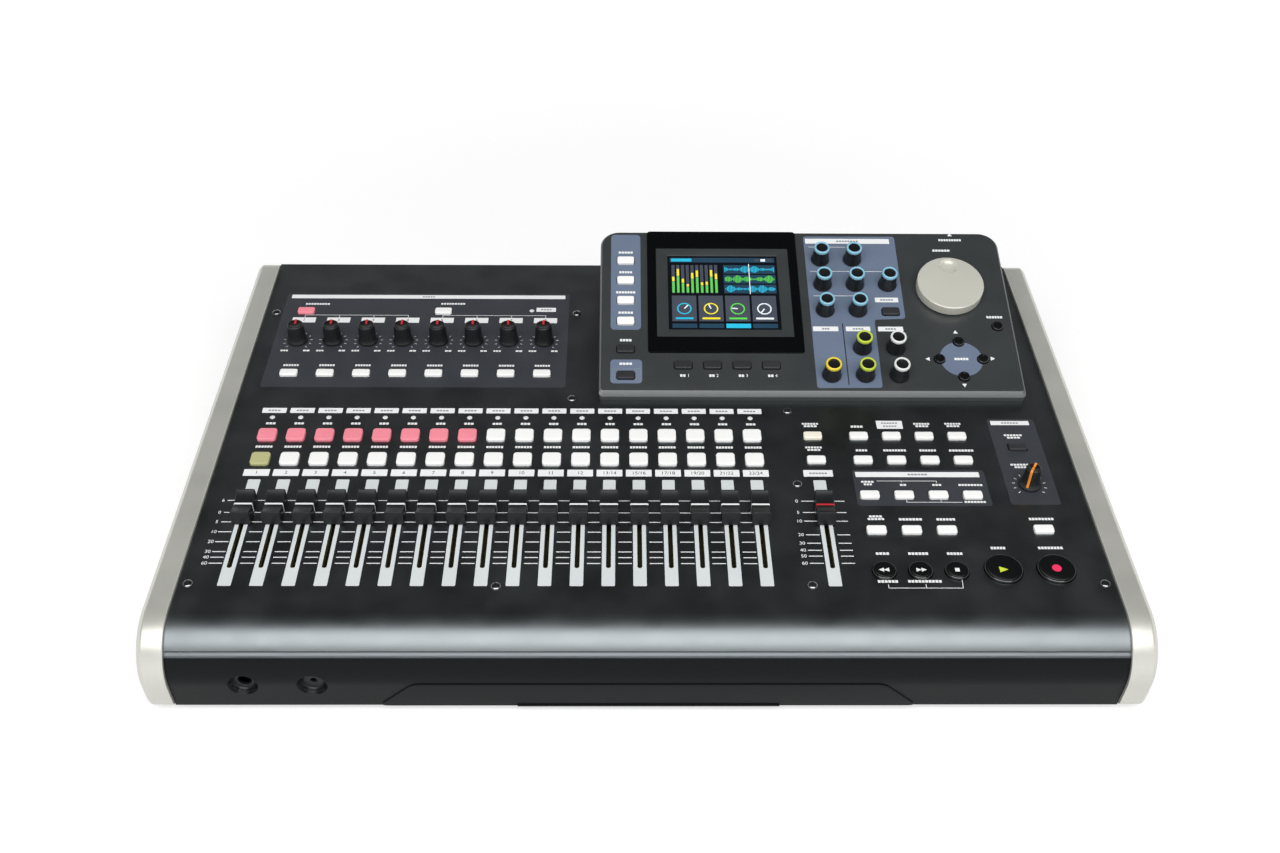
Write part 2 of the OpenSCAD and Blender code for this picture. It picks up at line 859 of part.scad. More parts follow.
module circuit_boards() {
    side = inner_w / 2 - board_edge;
    housing_side_u = house_mid - house_w / 2;
    input_board_v = housing_v + board_gap;
    switch_spots = concat(channel_key_spots, small_key_spots,
        small_transport_spots, large_transport_spots);
    console_switches = concat(console_key_spots, cursor_spots);
    color("#2f6b45") {
        panel_board(-side, side, panel_v0 + board_gap, housing_v - board_gap / 2);
        panel_board(-side, housing_side_u - board_gap, input_board_v, input_board_v + input_board_l);
        on_housing(housing_side_u + board_edge, board_edge, -console_drop - board_t)
            cube([house_w - 2 * board_edge, housing_l - 2 * board_edge, board_t]);
        translate([main_board_at[0], main_board_at[1], foot_h + sheet_t + standoff_h + fit])
            cube([main_board[0], main_board[1], board_t]);
    }
    color("#8a8d90") {
        for (u = concat(channel_spots, [stereo_at]))
            on_panel(u)
                slide_pot();
        for (s = knob_spots)
            on_panel(s[0], s[1])
                rotary_pot(board_drop, sheet_t);
        for (s = encoder_spots)
            on_housing(s[0], s[1])
                rotary_pot(console_drop, housing_t);
        on_housing(jog_u, jog_v)
            rotary_pot(console_drop, housing_t);
    }
    color("#3c3f42") {
        for (s = switch_spots)
            on_panel(s[0], s[1])
                tact_switch(board_drop);
        for (s = console_switches)
            on_housing(s[0], s[1])
                tact_switch(console_drop);
    }
    color("white")
        for (s = lamp_spots)
            on_panel(s[0], s[1])
                lamp();
}

// Sockets

// Turns a socket drawn along +Z, mouth at z = 0, to face the rear at (x, z)
module rear_socket(x) {
    translate([x, wall_y, rear_jack_z])
        rotate([-90, 0, 0])
            children();
}

module combo_socket() {
    flange_gap = 1;
    flange_w = combo_pitch * spread - flange_gap;
    flange_l = 31;
    flange_r = 3;
    depth = 22;
    ring = 2;
    dish_l = 3;
    rear_socket(0)
        difference() {
            union() {
                translate([0, 0, fit])
                    plate(flange_w, flange_l, flange_r, collar_t - fit);
                translate([0, 0, -depth])
                    cylinder(d = combo_d, h = depth + collar_t);
            }
            translate([0, 0, collar_t - dish_l])
                cylinder(d = combo_d - 2 * ring, h = dish_l + eps);
            translate([0, 0, socket_back - depth])
                cylinder(d = plug_d, h = depth);
        }
}

module bored_socket(d, bore, depth, reach) {
    collar = 2.4;
    rear_socket(0)
        difference() {
            union() {
                translate([0, 0, -depth])
                    cylinder(d = d, h = depth + reach);
                translate([0, 0, fit])
                    cylinder(d = d + 2 * collar, h = collar_t - fit, $fn = 6);
            }
            translate([0, 0, socket_back - depth])
                cylinder(d = bore, h = depth + reach);
        }
}

module usb_socket() {
    rear_socket(0)
        difference() {
            translate([-usb_w / 2, -usb_h / 2, -usb_depth])
                cube([usb_w, usb_h, usb_depth + usb_proud]);
            translate([-usb_bore / 2, -usb_bore / 2, socket_back - usb_depth])
                cube([usb_bore, usb_bore, usb_depth]);
        }
}

module front_socket(x, side, bore) {
    depth = 18;
    translate([x, jack_face_y + fit, front_jack_z])
        difference() {
            translate([-side / 2, 0, -side / 2])
                cube([side, depth, side]);
            translate([0, depth - socket_back, 0])
                rotate([90, 0, 0])
                    cylinder(d = bore, h = depth);
        }
}

module jack_sockets() {
    color("#1b1d1f") {
        for (x = combo_spots)
            translate([x, 0, 0])
                combo_socket();
        for (x = output_spots)
            translate([x, 0, 0])
                bored_socket(output_d, plug_d, output_depth, jack_stick);
        for (x = phono_spots)
            translate([x, 0, 0])
                bored_socket(phono_d, phono_bore, phono_depth, jack_stick - collar_t / 2);
        translate([power_x, 0, 0])
            bored_socket(power_d, power_bore, power_depth, collar_t / 2);
        translate([usb_x, 0, 0])
            usb_socket();
        front_socket(phones_at, phones_side, plug_d);
        front_socket(remote_at, remote_side, remote_d);
    }
}

module feet() {
    color("#17181a")
        for (x = [-1, 1], y = [front_y + foot_inset_y, rear_y - foot_inset_y])
            translate([x * (case_w / 2 - foot_inset_x), y, 0])
                cylinder(d = foot_d, h = foot_h);
}

// Faders

// Cap with a finger saddle, on a lever that ends in the slide potentiometer's carriage
module fader(u) {
    draft = 1;
    half = cap_l / 2;
    saddle_r = (half * half + cap_saddle * cap_saddle) / (2 * cap_saddle);
    skin = 1.4;
    pocket_l = half - lever_l / 2 - 2 * skin - draft;
    carriage_h = slider_h - fit - 2 * can_wall - 2 * seat;
    carriage_w = slider_w - 2 * can_wall - 2 * seat;
    on_panel(u, fader_rest, cap_gap) {
        difference() {
            translate([-cap_w / 2, 0, 0])
                rotate([90, 0, 90])
                    linear_extrude(cap_w)
                        difference() {
                            polygon([[-half, 0], [half, 0], [half - draft, cap_h], [draft - half, cap_h]]);
                            translate([0, cap_h - cap_saddle + saddle_r])
                                circle(saddle_r, $fn = fine_fn);
                        }
            for (s = [-1, 1])
                translate([skin - cap_w / 2, s > 0 ? lever_l / 2 + skin : skin + draft - half, -eps])
                    cube([cap_w - 2 * skin, pocket_l, cap_h - cap_saddle - skin]);
        }
        translate([-lever_t / 2, -lever_l / 2, -cap_gap - board_drop + 2 * can_wall + seat])
            cube([lever_t, lever_l, cap_gap + board_drop - 2 * can_wall - seat + eps]);
        translate([-carriage_w / 2, -carriage_l / 2, -cap_gap - board_drop + fit + can_wall + seat])
            cube([carriage_w, carriage_l, carriage_h]);
    }
}

module channel_fader(i) {
    color("#1c1e20")
        fader(channel_spots[i]);
}

module stereo_fader() {
    color("#1c1e20")
        fader(stereo_at);
}

// Knobs

// Shaft from inside the control's bushing up into the knob
module knob_shaft(drop) {
    foot = drop - fit - pot_floor - seat;
    grip = 1;
    translate([0, 0, -foot])
        cylinder(d = shaft_d, h = foot + knob_gap + grip);
}

// Tapered knob with a skirt and a raised pointer along its top and front
module pointer_knob(d, h, drop) {
    taper = 2.8;
    edge = 0.5;
    skirt = 2.2;
    line = 1.2;
    rise = 0.3;
    top_d = d - taper;
    translate([0, 0, knob_gap])
        rotate_extrude()
            polygon([[0, 0], [d / 2, 0], [d / 2, skirt], [top_d / 2 + edge, h - edge],
                     [top_d / 2, h], [0, h]]);
    translate([-line / 2, -top_d / 2, knob_gap + h - eps])
        cube([line, top_d, rise + eps]);
    knob_shaft(drop);
}

// Flared encoder knob with a dished top
module encoder_knob() {
    top_r = encoder_top_d / 2;
    base_r = encoder_d / 2;
    skirt = 0.8;
    edge = 0.4;
    ring = 1;
    dish = 0.5;
    flare_r = (encoder_h * encoder_h + (base_r - top_r) * (base_r - top_r)) / (2 * (base_r - top_r));
    translate([0, 0, knob_gap])
        rotate_extrude()
            difference() {
                polygon([[0, 0], [base_r, 0], [base_r, skirt], [base_r, encoder_h - edge],
                         [top_r - edge, encoder_h], [top_r - ring, encoder_h],
                         [top_r - ring, encoder_h - dish], [0, encoder_h - dish]]);
                translate([top_r + flare_r, encoder_h - edge + skirt])
                    circle(flare_r, $fn = 2 * fine_fn);
            }
    knob_shaft(console_drop);
}

module trim_knob(i) {
    color("#1b1c1e")
        on_panel(knob_spots[i][0], knob_spots[i][1])
            pointer_knob(trim_d, trim_h, board_drop);
}

module monitor_knob() {
    color("#1b1c1e")
        on_panel(side_u, monitor_knob_v)
            rotate([0, 0, monitor_turn])
                pointer_knob(monitor_d, monitor_h, board_drop);
}

module encoder(i) {
    color("#1b1c1e")
        on_housing(encoder_spots[i][0], encoder_spots[i][1])
            encoder_knob();
}

module jog_wheel() {
    crown = 1;
    edge = 1.2;
    dish_depth = 1.5;
    ball_r = (dimple_d * dimple_d / 4 + dish_depth * dish_depth) / (2 * dish_depth);
    color("#b9b8ab")
        on_housing(jog_u, jog_v) {
            difference() {
                translate([0, 0, knob_gap])
                    rotate_extrude($fn = fine_fn)
                        polygon([[0, 0], [jog_d / 2 - edge, 0], [jog_d / 2, edge],
                                 [jog_d / 2, jog_h - crown - edge], [jog_d / 2 - edge, jog_h - crown],
                                 [dimple_off - dimple_d, jog_h], [0, jog_h]]);
                translate([0, dimple_off, knob_gap + jog_h - crown - dish_depth + ball_r])
                    sphere(ball_r, $fn = fine_fn);
            }
            knob_shaft(console_drop);
        }
}

// Keys

// Rectangular key: cap through its window, flange under the sheet and a stem to its switch
module key(l, sheet, drop) {
    flange_z = -sheet - seat - flange_t;
    stem_z = -drop + fit + switch_h + nub_h + key_travel + seat;
    stem_d = 3;
    edge = 0.4;
    flange_w = key_w + 2 * (key_gap + key_flange);
    flange_l = l + 2 * (key_gap + key_flange);
    translate([-flange_w / 2, -flange_l / 2, flange_z])
        cube([flange_w, flange_l, flange_t]);
    translate([0, 0, flange_z + eps])
        plate(key_w, l, key_r, key_h - edge - flange_z - eps);
    translate([0, 0, key_h - edge - eps])
        plate(key_w - edge, l - edge, key_r, edge + eps);
    translate([0, 0, stem_z])
        cylinder(d = stem_d, h = flange_z + eps - stem_z);
}

// Round key with a dished top, flange and stem
module round_key(d, h, sheet, drop) {
    flange_z = -sheet - seat - flange_t;
    stem_z = -drop + fit + switch_h + nub_h + key_travel + seat;
    flange_r = d / 2 + key_gap + key_flange;
    rim = d * 0.06;
    dish = d * 0.04;
    rotate_extrude()
        polygon([[0, stem_z], [d / 6, stem_z], [d / 6, flange_z],
                 [flange_r, flange_z], [flange_r, flange_z + flange_t],
                 [d / 2, flange_z + flange_t], [d / 2, h - rim], [d / 2 - rim, h],
                 [d / 2 - 2 * rim, h], [d / 2 - 3 * rim, h - dish], [0, h - dish]]);
}

module panel_keys() {
    color("#e6e7e8") {
        for (s = channel_key_spots)
            on_panel(s[0], s[1])
                key(channel_key_l, sheet_t, board_drop);
        for (s = small_key_spots)
            on_panel(s[0], s[1])
                key(small_key_l, sheet_t, board_drop);
    }
}

module console_keys() {
    color("#3a3c3f") {
        for (s = console_key_spots)
            on_housing(s[0], s[1])
                key(small_key_l, housing_t, console_drop);
        for (s = cursor_spots)
            on_housing(s[0], s[1])
                round_key(cursor_d, key_h, housing_t, console_drop);
    }
}

module transport_key(spot, d) {
    color("#151617")
        on_panel(spot[0], spot[1])
            round_key(d, key_h, sheet_t, board_drop);
}

// Standby button in the rear wall, with a flange inside it
module standby_button() {
    side = standby_w + 2 * (key_gap + key_flange);
    corner_r = 1;
    color("#1b1c1e")
        translate([standby_at, wall_y - sheet_t - seat - flange_t, rear_jack_z])
            rotate([-90, 0, 0]) {
                plate(side, side, corner_r, flange_t);
                plate(standby_w, standby_w, corner_r, flange_t + seat + sheet_t + standby_out);
            }
}

top_panel();
bottom_chassis();
front_fascia();
left_end_cheek();
right_end_cheek();
display_housing();
display_bezel();
lcd_panel();
circuit_boards();
jack_sockets();
feet();
for (i = [0:channels - 1])
    channel_fader(i);
stereo_fader();
for (i = [0:7])
    trim_knob(i);
monitor_knob();
for (i = [0:11])
    encoder(i);
jog_wheel();
panel_keys();
console_keys();
for (i = [0:2])
    transport_key(small_transport_spots[i], small_transport_d);
transport_key(large_transport_spots[0], large_transport_d);  // play_key
transport_key(large_transport_spots[1], large_transport_d);  // record_key
standby_button();
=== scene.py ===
# %% [markdown]
# # Dressing a desktop multitrack recorder
# The CAD frame holds every solid of the recorder in its real place, in metres. This lesson puts the
# visible skin on it: painted steel, cast end cheeks, moulded keys, knobs and printed lines. The frame
# stays fixed, and each new piece rides on one of its bodies, so keys still press and knobs still turn.

# %% Load the frame
import json
import math

import bmesh
import bpy
import numpy as np
from mathutils import Matrix, Vector


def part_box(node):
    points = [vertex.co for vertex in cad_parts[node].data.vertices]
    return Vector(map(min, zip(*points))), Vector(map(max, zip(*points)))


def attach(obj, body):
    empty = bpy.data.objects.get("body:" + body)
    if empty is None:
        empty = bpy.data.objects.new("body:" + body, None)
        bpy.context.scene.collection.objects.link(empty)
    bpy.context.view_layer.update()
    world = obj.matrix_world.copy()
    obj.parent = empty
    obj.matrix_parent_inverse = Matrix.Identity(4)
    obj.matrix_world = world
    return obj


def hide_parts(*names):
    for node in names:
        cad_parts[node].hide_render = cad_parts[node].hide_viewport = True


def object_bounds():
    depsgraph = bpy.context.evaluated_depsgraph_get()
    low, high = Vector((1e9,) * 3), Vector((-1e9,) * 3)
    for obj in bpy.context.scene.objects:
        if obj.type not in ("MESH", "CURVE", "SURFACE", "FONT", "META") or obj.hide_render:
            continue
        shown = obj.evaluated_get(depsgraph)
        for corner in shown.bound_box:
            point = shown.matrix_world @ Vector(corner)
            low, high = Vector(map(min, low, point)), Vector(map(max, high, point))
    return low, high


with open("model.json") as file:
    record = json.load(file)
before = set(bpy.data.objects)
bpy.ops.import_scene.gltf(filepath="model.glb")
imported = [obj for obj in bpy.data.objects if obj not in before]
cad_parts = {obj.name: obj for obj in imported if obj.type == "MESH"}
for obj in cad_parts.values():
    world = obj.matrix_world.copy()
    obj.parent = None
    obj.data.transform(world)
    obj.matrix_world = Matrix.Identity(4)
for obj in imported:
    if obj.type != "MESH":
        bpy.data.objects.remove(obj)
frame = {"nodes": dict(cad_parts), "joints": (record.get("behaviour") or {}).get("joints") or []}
cad_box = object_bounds()
MM = 0.001
print("CAD box:", [[round(c, 4) for c in corner] for corner in cad_box])

# %% [markdown]
# The camera looks down over the front edge. A camera can be aimed with a Track To constraint, but a
# matrix of plain turns is exact: the lens axis tips down, swings a little and rolls a little.

# %% Camera
CAMERA_AT = (-0.01462, -0.64680, 0.56208)
TIP_DOWN, SWING, ROLL = 37.949, -0.991, 0.736
SENSOR, LENS = 36.0, 39.375

camera = bpy.data.cameras.new("studio_camera")
camera.sensor_fit = "HORIZONTAL"
camera.sensor_width = SENSOR
camera.lens = LENS
camera_object = bpy.data.objects.new("studio_camera", camera)
bpy.context.scene.collection.objects.link(camera_object)
turns = [(SWING, "Z"), (90.0 - TIP_DOWN, "X"), (ROLL, "Z")]
aim = Matrix.Identity(4)
for angle, axis in turns:
    aim = aim @ Matrix.Rotation(math.radians(angle), 4, axis)
camera_object.matrix_world = Matrix.Translation(CAMERA_AT) @ aim
bpy.context.scene.camera = camera_object
print("camera height", CAMERA_AT[2], "lens", LENS)

# %% [markdown]
# Two slopes carry nearly everything: the control panel and the steeper display housing. Each gets a
# drawing plane with u across, v up the slope and h above the surface, in millimetres. The planes come
# from two of the frame's joints, so marks and caps land exactly where the solids are.

# %% Drawing planes
joints = {joint["name"]: joint for joint in frame["joints"]}


class DrawingPlane:
    """A slope of the case. The point (u, v, h) is the origin plus u across, v up the slope, h out."""

    def __init__(self, origin, out):
        self.out = np.array(out, float) / np.linalg.norm(out)
        self.across = np.array([1.0, 0.0, 0.0])
        self.up = np.cross(self.out, self.across)
        self.origin = np.array(origin, float)

    def at(self, points):
        """Metres from millimetres: the origin plus each coordinate times its own direction."""
        return self.origin + MM * np.asarray(points, float) @ np.stack([self.across, self.up, self.out])


def plane_through(joint, u, v):
    """The drawing plane whose point (u, v, 0) is the joint's own place and whose normal is its axis."""
    plane = DrawingPlane((0.0, 0.0, 0.0), joint["axis"])
    plane.origin = np.array(joint["pos_m"]) - MM * (u * plane.across + v * plane.up)
    return plane


CHANNELS, INPUTS = 18, 8
TRIM_V, JOG_SPOT = 207.0, (191.0, 80.0)
INPUT_U = -217.0 + 22.0 * np.arange(INPUTS)
PANEL = plane_through(joints["trim_knob_1_turn"], INPUT_U[0], TRIM_V)
HOUSE = plane_through(joints["jog_wheel_turn"], *JOG_SPOT)
WORLD = DrawingPlane((0.0, 0.0, 0.0), (0.0, 0.0, 1.0))
fader_boxes = [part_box(f"channel_fader_{i:02d}") for i in range(1, CHANNELS + 1)]
CHANNEL_U = np.array([np.mean([corner[0] for corner in box]) / MM for box in fader_boxes])
print("channel pitch", round(float(CHANNEL_U[1] - CHANNEL_U[0]), 3), "mm")

# %% [markdown]
# Every piece is a stack of closed rings. A ring is an outline lifted to some height, and quads join
# each ring to the next, so one small class makes keys, knobs, shells and printed marks alike. The
# points are worked out as whole arrays, which is quick and keeps neighbouring rings in step.

# %% Stacks of rings


def lift(outline, level):
    """The outline's points with one height for all of them."""
    return np.column_stack([outline, np.full(len(outline), level)])


class Stock:
    """Gathers ringed surfaces as arrays until they become one mesh."""

    def __init__(self):
        self.points, self.faces, self.finish, self.count = [], [], [], 0

    def add(self, points, faces, finish):
        """Appends points in metres, and faces that count from the first of them."""
        self.points.append(points)
        self.faces += faces
        self.finish += finish
        self.count += len(points)

    def loft(self, plane, rings, finish=0, hoop=False):
        """Quads between neighbouring rings; caps close both ends, or a hoop joins last ring to first."""
        rows, cols = rings.shape[:2]
        i = np.arange(rows if hoop else rows - 1)[:, None]
        j = np.arange(cols)[None, :]
        k, n = (i + 1) % rows, (j + 1) % cols
        quads = np.stack(np.broadcast_arrays(i * cols + j, i * cols + n, k * cols + n, k * cols + j), -1)
        tones = np.broadcast_to(finish, len(i))
        faces = (quads.reshape(-1, 4) + self.count).tolist()
        finishes = np.repeat(tones, cols).tolist()
        if not hoop:
            faces += [(np.arange(cols)[::-1] + self.count).tolist()]
            faces += [(np.arange(cols) + self.count + (rows - 1) * cols).tolist()]
            finishes += [int(tones[0]), int(tones[-1])]
        self.add(plane.at(rings.reshape(-1, 3)), faces, finishes)

    def slab(self, plane, outline, low, high, finish=0):
        """A flat prism: the outline at a low and at a high level."""
        self.loft(plane, np.stack([lift(outline, low), lift(outline, high)]), finish)

    def band(self, plane, outer, inner, low, high, finish=0):
        """A flat frame: outer and inner outline, each at both levels, closed as a hoop."""
        rings = [lift(outer, low), lift(outer, high), lift(inner, high), lift(inner, low)]
        self.loft(plane, np.stack(rings), finish, hoop=True)

    def turned(self, plane, spot, profile, finish=0, steps=56, flutes=0, depth=0.0):
        """A profile of (radius, height) turned round the normal; flutes are cosine hollows of a depth."""
        profile = np.asarray(profile, float)
        angle = np.arange(steps) * 2 * np.pi / steps
        hollow = np.reshape(depth, (-1, 1)) * (0.5 + 0.5 * np.cos(flutes * angle)) if flutes else 0.0
        radius = profile[:, :1] - hollow
        level = np.broadcast_to(profile[:, 1:], (len(profile), steps))
        rings = [spot[0] + radius * np.cos(angle), spot[1] + radius * np.sin(angle), level]
        self.loft(plane, np.stack(np.broadcast_arrays(*rings), -1), finish)


print("ring stock ready")

# %% [markdown]
# Outlines are drawn in millimetres on a slope: rounded rectangles for keys and fields, circles for
# knobs, eased polygons for odd shapes and thin rectangles for lines. Blender's curves could hold them
# too, but an array of points can be lifted into a ring at once.

# %% Outlines


def round_rect(width, length, radius, spot=(0.0, 0.0), steps=6):
    """A rectangle whose corners are quarter circles about centres one radius inside both sides."""
    radius = max(min(radius, 0.499 * width, 0.499 * length), 0.002)
    angle = np.linspace(0, np.pi / 2, steps)[None, :] + np.arange(4)[:, None] * np.pi / 2
    side = np.array([[1, 1], [-1, 1], [-1, -1], [1, -1]])
    u = side[:, :1] * (width / 2 - radius) + radius * np.cos(angle)
    v = side[:, 1:] * (length / 2 - radius) + radius * np.sin(angle)
    return np.stack([u, v], -1).reshape(-1, 2) + np.asarray(spot)


def corner_rect(left, low, right, high, radius, steps=6):
    """A rounded rectangle about the middle of its left low and its right high corner."""
    return round_rect(right - left, high - low, radius, ((left + right) / 2, (low + high) / 2), steps)


def circle(diameter, spot=(0.0, 0.0), steps=40):
    """Points at equal angles at half the diameter."""
    angle = np.arange(steps) * 2 * np.pi / steps
    return np.stack([np.cos(angle), np.sin(angle)], -1) * diameter / 2 + np.asarray(spot)


def eased(corners, reach, steps=6):
    """A polygon whose corners are quadratic curves that start and end one reach along both sides."""
    here = np.asarray(corners, float)
    before, after = np.roll(here, 1, 0) - here, np.roll(here, -1, 0) - here
    start = here + reach * before / np.linalg.norm(before, axis=1, keepdims=True)
    end = here + reach * after / np.linalg.norm(after, axis=1, keepdims=True)
    t = np.linspace(0, 1, steps)[None, :, None]
    curve = (1 - t) ** 2 * start[:, None] + 2 * t * (1 - t) * here[:, None] + t**2 * end[:, None]
    return curve.reshape(-1, 2)


def stroke(start, end, width):
    """A thin rectangle along a line, half the width to each side of it."""
    start, end = np.asarray(start, float), np.asarray(end, float)
    along = (end - start) / np.linalg.norm(end - start)
    side = np.array([-along[1], along[0]]) * width / 2
    return np.stack([start - side, end - side, end + side, start + side])


print("outlines ready")

# %% [markdown]
# A stock becomes one mesh, and the mesh one object that rides on a body of the frame. Windows come from
# a Boolean, whose result is kept as the mesh, so that no modifier stays live. Edges sharper than the
# crease angle stay crisp, and all others are shaded smooth.

# %% Meshes and pieces
CREASE = 38.0


def mesh_of(name, stock):
    """One mesh from the stock's arrays, with all faces turned outwards."""
    mesh = bpy.data.meshes.new(name)
    mesh.from_pydata(np.concatenate(stock.points).tolist(), [], stock.faces)
    mesh.polygons.foreach_set("material_index", np.array(stock.finish, np.int32))
    work = bmesh.new()
    work.from_mesh(mesh)
    bmesh.ops.recalc_face_normals(work, faces=work.faces)
    work.to_mesh(mesh)
    work.free()
    return mesh


def cut_away(obj, cutter):
    """Takes the cutter's prisms out of the object with a Boolean, and keeps the result as its mesh."""
    tool = bpy.data.objects.new("cutter", mesh_of("cutter", cutter))
    bpy.context.scene.collection.objects.link(tool)
    boolean = obj.modifiers.new("windows", "BOOLEAN")
    boolean.operation = "DIFFERENCE"
    boolean.solver = "EXACT"
    boolean.object = tool
    done = bpy.data.meshes.new_from_object(obj.evaluated_get(bpy.context.evaluated_depsgraph_get()))
    obj.modifiers.clear()
    obj.data = done
    bpy.data.objects.remove(tool)


def make(name, stock, finishes, body, replaces=(), cutters=()):
    """Puts a stock into the scene as one piece that rides on a body of the frame."""
    obj = bpy.data.objects.new(name, mesh_of(name, stock))
    bpy.context.scene.collection.objects.link(obj)
    for material in finishes:
        obj.data.materials.append(material)
    for cutter in cutters:
        cut_away(obj, cutter)
    obj.data.shade_smooth()
    obj.data.set_sharp_from_angle(angle=math.radians(CREASE))
    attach(obj, body)
    if replaces:
        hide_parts(*replaces)


print("piece maker ready")

# %% [markdown]
# The finishes are paint, moulded plastic, satin metal and ink. A single flat colour looks like a toy,
# so each one has a slow mottle in its colour and gloss, and a fine grain as bump. All noise reads
# Object coordinates, in metres, so a scale of 3000 is a grain of about a third of a millimetre.

# %% Recipe of a finish
NOISE_LOW, NOISE_HIGH, WEAR, GRAIN_DEPTH = 0.3, 0.7, 0.12, 0.05
MIX_SHARE, MIX_FIRST, MIX_SECOND, MIX_RESULT = 0, 6, 7, 2


def shade(red, green, blue):
    """Linear light from a screen colour of 0 to 255, by the usual 2.4 power curve."""
    value = np.array([red, green, blue]) / 255.0
    linear = np.where(value <= 0.04045, value / 12.92, ((value + 0.055) / 1.055) ** 2.4)
    return (*linear.tolist(), 1.0)


def map_range(nodes, start, end, first, last):
    """A Map Range node that takes the numbers from start to end to those from first to last."""
    node = nodes.new("ShaderNodeMapRange")
    for name, number in (("From Min", start), ("From Max", end), ("To Min", first), ("To Max", last)):
        node.inputs[name].default_value = number
    return node


def finish(name, colour, rough, metal=0.0, gloss=0.5, mottle=0.05, spread=45.0,
           grain=0.12, grain_size=3000.0, glow=0.0):
    """Colour times one plus mottle noise, roughness plus the same noise, and bump from a fine grain."""
    material = bpy.data.materials.new(name)
    material.use_nodes = True
    nodes, links = material.node_tree.nodes, material.node_tree.links
    shader = nodes["Principled BSDF"]
    place = nodes.new("ShaderNodeTexCoord")
    slow = nodes.new("ShaderNodeTexNoise")
    slow.inputs["Scale"].default_value = spread
    slow.inputs["Detail"].default_value = 4.0
    tint = map_range(nodes, NOISE_LOW, NOISE_HIGH, 1.0 - mottle, 1.0 + mottle)
    mixed = nodes.new("ShaderNodeMix")
    mixed.data_type = "RGBA"
    mixed.blend_type = "MULTIPLY"
    mixed.inputs[MIX_SHARE].default_value = 1.0
    mixed.inputs[MIX_FIRST].default_value = shade(*colour)
    worn = map_range(nodes, NOISE_LOW, NOISE_HIGH, rough * (1 - WEAR), min(rough * (1 + WEAR), 1.0))
    fine = nodes.new("ShaderNodeTexNoise")
    fine.inputs["Scale"].default_value = grain_size
    fine.inputs["Detail"].default_value = 2.0
    bump = nodes.new("ShaderNodeBump")
    bump.inputs["Strength"].default_value = grain
    bump.inputs["Distance"].default_value = GRAIN_DEPTH * MM
    links.new(place.outputs["Object"], slow.inputs["Vector"])
    links.new(place.outputs["Object"], fine.inputs["Vector"])
    links.new(slow.outputs["Fac"], tint.inputs["Value"])
    links.new(slow.outputs["Fac"], worn.inputs["Value"])
    links.new(tint.outputs["Result"], mixed.inputs[MIX_SECOND])
    links.new(mixed.outputs[MIX_RESULT], shader.inputs["Base Color"])
    links.new(worn.outputs["Result"], shader.inputs["Roughness"])
    links.new(fine.outputs["Fac"], bump.inputs["Height"])
    links.new(bump.outputs["Normal"], shader.inputs["Normal"])
    shader.inputs["Metallic"].default_value = metal
    shader.inputs["Specular IOR Level"].default_value = gloss
    if glow:
        links.new(mixed.outputs[MIX_RESULT], shader.inputs["Emission Color"])
        shader.inputs["Emission Strength"].default_value = glow
    return material


print("finish recipe ready")

# %% [markdown]
# The list goes through the object group by group: painted steel and inks first, then the moulded parts,
# keys, rings and signs, and last the parts behind and inside. Each finish takes a screen colour, a
# roughness and, where it differs from plain plastic, its metal, gloss and grain.

# %% List of finishes
panel_paint = finish("panel_paint", (114, 119, 121), 0.37, metal=1.0, mottle=0.04, grain=0.16)
field_paint = finish("field_paint", (70, 73, 79), 0.5, metal=0.4, gloss=0.2, grain=0.16)
white_ink = finish("white_ink", (232, 234, 234), 0.6, gloss=0.2, mottle=0.03, grain=0.08)
grey_ink = finish("grey_ink", (136, 140, 145), 0.6, gloss=0.2, mottle=0.03, grain=0.08)
# Dark ink is print, and on the screw heads it is also painted shade in the cross recess.
dark_ink_and_painted_shade = finish("dark_ink_and_painted_shade", (30, 32, 36), 0.6, gloss=0.2, mottle=0.04, grain=0.08)
strip_ink = finish("strip_ink", (206, 211, 212), 0.55, gloss=0.25, mottle=0.03, grain=0.1)
lip_paint = finish("lip_paint", (92, 96, 99), 0.36, metal=1.0, mottle=0.04, grain=0.14)
fascia_plastic = finish("fascia_plastic", (11, 13, 16), 0.36, gloss=0.14, grain=0.14, grain_size=2200.0)
cheek_metal = finish("cheek_metal", (208, 208, 200), 0.36, metal=0.5, mottle=0.03,
                     grain=0.16, grain_size=3600.0)
housing_plastic = finish("housing_plastic", (56, 59, 60), 0.34, gloss=0.6, grain=0.18)
# A lighter copy of the housing plastic for its bevel: a painted highlight.
housing_painted_highlight = finish("housing_painted_highlight", (92, 95, 97), 0.34, gloss=0.6, grain=0.18)
blue_field = finish("blue_field", (104, 117, 138), 0.5, gloss=0.25, mottle=0.04, grain=0.12)
bezel_gloss = finish("bezel_gloss", (8, 9, 10), 0.1, gloss=0.4, mottle=0.08, grain=0.02)
frame_grey = finish("frame_grey", (56, 60, 60), 0.4, gloss=0.2, grain=0.15)
fader_plastic = finish("fader_plastic", (26, 28, 29), 0.36, gloss=0.4, mottle=0.08, grain=0.2)
knob_rubber = finish("knob_rubber", (20, 21, 23), 0.38, gloss=0.5, mottle=0.1, grain=0.2, grain_size=2400.0)
jog_silver = finish("jog_silver", (206, 205, 194), 0.32, metal=0.2, mottle=0.02,
                    grain=0.1, grain_size=4200.0)
key_white = finish("key_white", (246, 246, 244), 0.36, mottle=0.02, grain=0.1)
key_rose = finish("key_rose", (232, 134, 148), 0.36, mottle=0.05, grain=0.1, glow=0.12)
key_olive = finish("key_olive", (178, 178, 128), 0.36, mottle=0.05, grain=0.1, glow=0.08)
key_cream = finish("key_cream", (246, 240, 222), 0.36, mottle=0.03, grain=0.1)
key_dark = finish("key_dark", (46, 48, 51), 0.42, gloss=0.35, mottle=0.06, grain=0.2)
transport_gloss = finish("transport_gloss", (13, 14, 15), 0.1, gloss=1.0, mottle=0.1, grain=0.03)
screw_metal = finish("screw_metal", (150, 151, 152), 0.2, metal=1.0, mottle=0.1, grain=0.1)
